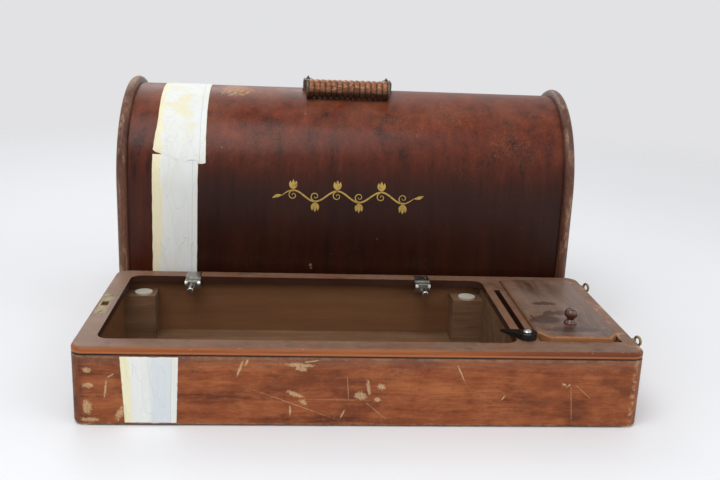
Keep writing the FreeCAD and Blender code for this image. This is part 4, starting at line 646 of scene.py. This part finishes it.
def paper_tape(name, cream, blue, glue):
    """Aged paper tape: cool white with a creamed left edge, creases and glue stains."""
    finish = Finish(name)
    place = finish.place()
    edge = finish.node("ShaderNodeAttribute", attribute_name="across").outputs["Fac"]
    height = finish.node("ShaderNodeAttribute", attribute_name="rise").outputs["Fac"]
    drift = finish.add(finish.noise(finish.stretch(place, 1, 1, 0.12), 0.12, 4, 0.55), -0.5)
    band = finish.ease(finish.add(edge, finish.times(drift, 0.3)), 0.44, 0.52)
    band = finish.times(band, finish.ease(edge, 0.89, 0.86))
    colour = finish.blend(finish.times(band, blue), rgb(233, 236, 233), rgb(214, 222, 228))
    soft = finish.noise(finish.stretch(place, 1, 1, 0.3), 0.07, 4, 0.5)
    colour = finish.blend(finish.times(finish.ease(soft, 0.42, 0.68), 0.35), colour, rgb(222, 222, 210))
    slant = finish.add(edge, finish.add(finish.times(drift, 0.34), finish.times(height, 0.05)))
    colour = finish.blend(finish.ease(slant, cream + 0.05, cream - 0.03), colour, rgb(240, 233, 198))
    seam = finish.add(finish.add(edge, finish.times(drift, 0.03)), -0.885)
    seam = finish.ease(finish.maths("ABSOLUTE", seam), 0.012, 0.003)
    colour = finish.blend(finish.times(seam, 0.5), colour, rgb(176, 186, 192))
    field = finish.noise(finish.stretch(finish.warp(place, 4, 0.05), 1, 1, 0.18), 0.11, 2, 0.4)
    folds = finish.ease(finish.maths("ABSOLUTE", finish.add(field, -0.5)), 0.012, 0.0)
    # Faint painted shade along the creases.
    colour = finish.blend(finish.times(folds, 0.06), colour, rgb(196, 200, 194))
    stain = finish.ease(finish.noise(finish.stretch(place, 0.7, 1, 0.5), 0.05, 5, 0.6), 0.50, 0.62)
    colour = finish.blend(finish.times(stain, glue), colour, rgb(234, 227, 192))
    rim = finish.most(finish.ease(edge, 0.02, 0.0), finish.ease(edge, 0.985, 1.0))
    colour = finish.blend(finish.times(rim, 0.35), colour, rgb(190, 170, 130))
    fibres = finish.noise(place, 1.2, 3, 0.6)
    relief = finish.add(finish.times(folds, 0.5),
                        finish.add(finish.times(field, 1.2), finish.times(fibres, 0.1)))
    finish.bump(relief, 0.45, 0.0014)
    return finish.shade(colour, 0.6)


def old_brass():
    finish = Finish("old_brass")
    place = finish.place()
    patina = finish.ease(finish.noise(place, 0.16, 5, 0.6), 0.35, 0.72)
    colour = finish.blend(finish.times(patina, 0.7), rgb(158, 144, 112), rgb(104, 90, 62))
    fine = finish.noise(finish.stretch(place, 1, 0.2, 1), 3.0, 3)
    finish.bump(fine, 0.15, 0.0003)
    return finish.shade(colour, finish.add(0.42, finish.times(patina, 0.2)), 0.8)


def worn_steel():
    finish = Finish("worn_steel")
    place = finish.place()
    rust = finish.ease(finish.noise(place, 0.25, 5, 0.65), 0.52, 0.70)
    colour = finish.blend(rust, rgb(176, 174, 168), rgb(104, 84, 66))
    scuff = finish.noise(finish.stretch(place, 0.3, 2, 2), 1.4, 4)
    finish.bump(scuff, 0.15, 0.0003)
    metal = finish.opposite(finish.times(rust, 0.5))
    return finish.shade(colour, finish.add(0.28, finish.times(rust, 0.35)), metal)


def black_iron():
    finish = Finish("black_iron")
    place = finish.place()
    chip = finish.ease(finish.noise(place, 0.5, 5, 0.7), 0.62, 0.70)
    colour = finish.blend(chip, rgb(24, 23, 24), rgb(88, 82, 78))
    finish.bump(finish.noise(place, 0.8, 4), 0.2, 0.0004)
    rough = finish.add(0.24, finish.times(chip, 0.25))
    return finish.shade(colour, rough, 0.25, Coat_Weight=0.3, Coat_Roughness=0.15)


def dark_bronze():
    finish = Finish("dark_bronze")
    place = finish.place()
    bright = finish.ease(finish.noise(place, 0.35, 5, 0.65), 0.55, 0.72)
    colour = finish.blend(bright, rgb(92, 76, 66), rgb(146, 128, 112))
    finish.bump(finish.noise(place, 1.0, 4), 0.2, 0.0003)
    return finish.shade(colour, finish.add(0.42, finish.times(bright, 0.1)), 0.4)


def gilt():
    """Old transfer gilding, rubbed thin in places."""
    finish = Finish("gilt")
    place = finish.place()
    rubbed = finish.ease(finish.noise(place, 0.35, 5, 0.7), 0.52, 0.68)
    colour = finish.blend(rubbed, rgb(198, 164, 84), rgb(122, 88, 44))
    return finish.shade(colour, finish.add(0.38, finish.times(rubbed, 0.2)), 0.35)


def repaint(material, *nodes):
    for name in nodes:
        slots = NODES[name].data.materials
        if not slots:
            slots.append(material)
        for index in range(len(slots)):
            slots[index] = material


def paint_frame():
    repaint(box_wood(), "base_front_board", "base_back_board", "base_left_board", "base_right_board")
    repaint(deck_wood(), "deck_front_rail", "deck_back_rail", "deck_left_rail", "deck_right_rail",
            "deck_cross_rail")
    repaint(inner_wood(), "base_bottom_board", "bed_support_blocks", "well_partition",
            "compartment_left_wall", "cover_front_batten", "cover_back_batten", "cover_corner_blocks")
    repaint(lid_wood(), "accessory_lid")
    repaint(knob_wood(), "lid_knob")
    repaint(shell_wood(), "cover_shell")
    repaint(rim_wood(), "cover_left_rim", "cover_right_rim")
    repaint(panel_wood(), "cover_left_panel", "cover_right_panel")
    repaint(grip_wood(), "handle_grip")
    repaint(felt(), "base_foot_pads", "bed_support_felts")
    repaint(old_brass(), "strike_plate", "strike_plate_screws", "screw_eyes", "keyhole_plate", "hook_screws",
            "hook_front", "hook_back", "lid_pivot_pins")
    repaint(worn_steel(), "machine_hinge_bracket_left", "machine_hinge_bracket_right", "machine_hinge_screws",
            "machine_hinge_pins", "machine_catch_screw", "machine_hinge_arm_left", "machine_hinge_arm_right",
            "lock_plate", "lock_plate_screws", "lock_case", "lock_bolt", "lock_cam")
    repaint(black_iron(), "machine_catch")
    repaint(dark_bronze(), "handle_arm_left", "handle_arm_right", "handle_rod", "handle_pivot_pins",
            "handle_lug_left", "handle_lug_right", "handle_lug_screws")


# Pieces made here

def new_piece(name, points, faces, material, body, smooth=True):
    data = bpy.data.meshes.new(name)
    data.from_pydata(points, [], faces)
    data.update()
    if smooth:
        data.polygons.foreach_set("use_smooth", [True] * len(data.polygons))
    data.materials.append(material)
    piece = bpy.data.objects.new(name, data)
    bpy.context.scene.collection.objects.link(piece)
    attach(piece, body)
    return piece


def on_shell(x, rise, lift):
    """Place on the cover's outer face: x along it, rise up its front and over the arch."""
    if rise <= SPRING:
        local = (x, -SHELL_RADIUS - lift, rise)
    else:
        angle = (rise - SPRING) / SHELL_RADIUS
        away = SHELL_RADIUS + lift
        local = (x, -away * math.cos(angle), SPRING + away * math.sin(angle))
    return COVER_PLACE @ (Vector(local) * MM)


def tape_strip(name, where, edges, low, high, rows, columns, material, body, lift, seed, torn=0.0, slant=0.0):
    """Thin strip of paper: a wavy sheet with its rim turned down to what it sticks to."""
    random.seed(seed)
    points, faces, across, rise_at = [], [], [], []
    for row in range(rows + 1):
        share = row / rows
        left, right = edges(share)
        for column in range(columns + 1):
            side = column / columns
            rag = torn * noise.noise(Vector((side * 6, seed, 0))) if row in (0, rows) else 0
            jog = 0.35 * noise.noise(Vector((share * 18, seed + side, 3)))
            x = left + (right - left) * side + (jog if column in (0, columns) else 0)
            rise = low + (high - low) * share + rag + slant * max(0, 1 - 2.2 * side) * (1 - share)
            wave = 0.14 * noise.noise(Vector((x * 0.12, rise * 0.03, seed))) + 0.14
            on_edge = row in (0, rows) or column in (0, columns)
            points.append(where(x, rise, 0.02 if on_edge else lift + wave))
            across.append(side)
            rise_at.append(share)
    wide = columns + 1
    for row in range(rows):
        for column in range(columns):
            corner = row * wide + column
            faces.append((corner, corner + 1, corner + wide + 1, corner + wide))
    piece = new_piece(name, points, faces, material, body)
    for key, values in (("across", across), ("rise", rise_at)):
        attribute = piece.data.attributes.new(key, "FLOAT", "POINT")
        attribute.data.foreach_set("value", values)
    return piece


def make_tapes():
    paper = paper_tape("paper_tape", 0.16, 0.85, 0.15)
    faded = paper_tape("paper_tape_faded", 0.20, 0.15, 0.25)
    yellow = paper_tape("paper_tape_old", 0.12, 0.1, 0.75)
    crest = SPRING + SHELL_RADIUS * (math.pi / 2 + math.radians(12))
    lower = tape_strip("cover_tape_lower", on_shell, lambda t: (-212.5 + 2 * t, -164.5 + 3 * t), 2.5, 196,
                       60, 16, faded, "cover", 0.12, 3)
    upper = tape_strip("cover_tape_upper", on_shell,
                       lambda t: (-210.5 + 4 * min(t * 4, 1) - 3 * t, -153.5 - 4 * t), 188, crest - 3,
                       70, 18, yellow, "cover", 0.45, 8, torn=5, slant=13)
    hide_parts("cover_tape")
    front = tape_strip("base_tape_strip",
                       lambda x, rise, lift: (BASE + Vector((x, -HALF_DEPTH - lift, rise))) * MM,
                       lambda t: (-205.5 - 2.8 * t, -161.2 + 2.2 * t), 3.2, 64.4,
                       40, 16, paper, "base", 0.1, 15, torn=0.8)
    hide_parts("base_tape")


def ribbon(points, faces, path, widths, lift=0.12):
    """Add a flat band along a path on the shell's front, with its own width at each point."""
    start = len(points)
    for index, (x, rise) in enumerate(path):
        before, after = path[max(index - 1, 0)], path[min(index + 1, len(path) - 1)]
        along = Vector((after[0] - before[0], after[1] - before[1]))
        along = along.normalized() if along.length else Vector((1, 0))
        side = Vector((-along.y, along.x)) * widths[index] / 2
        points.append(on_shell(x + side.x, rise + side.y, lift))
        points.append(on_shell(x - side.x, rise - side.y, lift))
        if index:
            corner = start + 2 * index
            faces.append((corner - 2, corner - 1, corner + 1, corner))


def scroll_path(x, rise, radius, turns, start, way, steps=36):
    """Spiral that winds inwards from its outer end."""
    path = []
    for step in range(steps + 1):
        share = step / steps
        angle = start + way * 2 * math.pi * turns * share
        reach = radius * (1 - 0.86 * share)
        path.append((x + reach * math.cos(angle), rise + reach * math.sin(angle)))
    return path


def leaf_path(x, rise, angle, length, bend, steps=12):
    path = []
    for step in range(steps + 1):
        share = step / steps
        heading = angle + bend * share
        path.append((x + length * share * math.cos(heading), rise + length * share * math.sin(heading)))
    return path


def make_ornament():
    """Gold running vine: one even wave with leaves outside each bend and a tendril inside it."""
    points, faces = [], []
    left, length, middle, wave, bends = -71.0, 144.0, 155.5, 6.0, 6

    def stem(share):
        return left + length * share, middle + wave * math.sin(math.pi * bends * share)

    path = [stem(step / 120) for step in range(121)]
    ribbon(points, faces, path, [0.5 + 1.3 * min(step, 120 - step, 10) / 10 for step in range(121)])
    leaf_widths = [0.3 + 3.2 * math.sin(math.pi * step / 12) for step in range(13)]
    for bend in range(bends):
        x, rise = stem((bend + 0.5) / bends)
        out = 1 if bend % 2 == 0 else -1
        for heading, reach, curl in ((1.57, 10.5, 0.0), (0.75, 9.5, 0.5), (2.39, 9.5, -0.5)):
            leaf = leaf_path(x, rise + 1.2 * out, out * heading, reach, out * curl)
            ribbon(points, faces, leaf, leaf_widths)
        tendril = scroll_path(x, rise - 5.6 * out, 5.2, 1.3, out * math.pi / 2, out)
        ribbon(points, faces, tendril, [1.3 - 0.8 * step / 36 for step in range(37)])
    for x, heading in ((left, math.pi), (left + length, 0.0)):
        ribbon(points, faces, leaf_path(x, middle, heading, 11.0, 0.3), leaf_widths)
    return new_piece("cover_gilt_vine", points, faces, gilt(), "cover", smooth=False)


make_camera()
make_studio()
make_floor()
paint_frame()
make_tapes()
make_ornament()
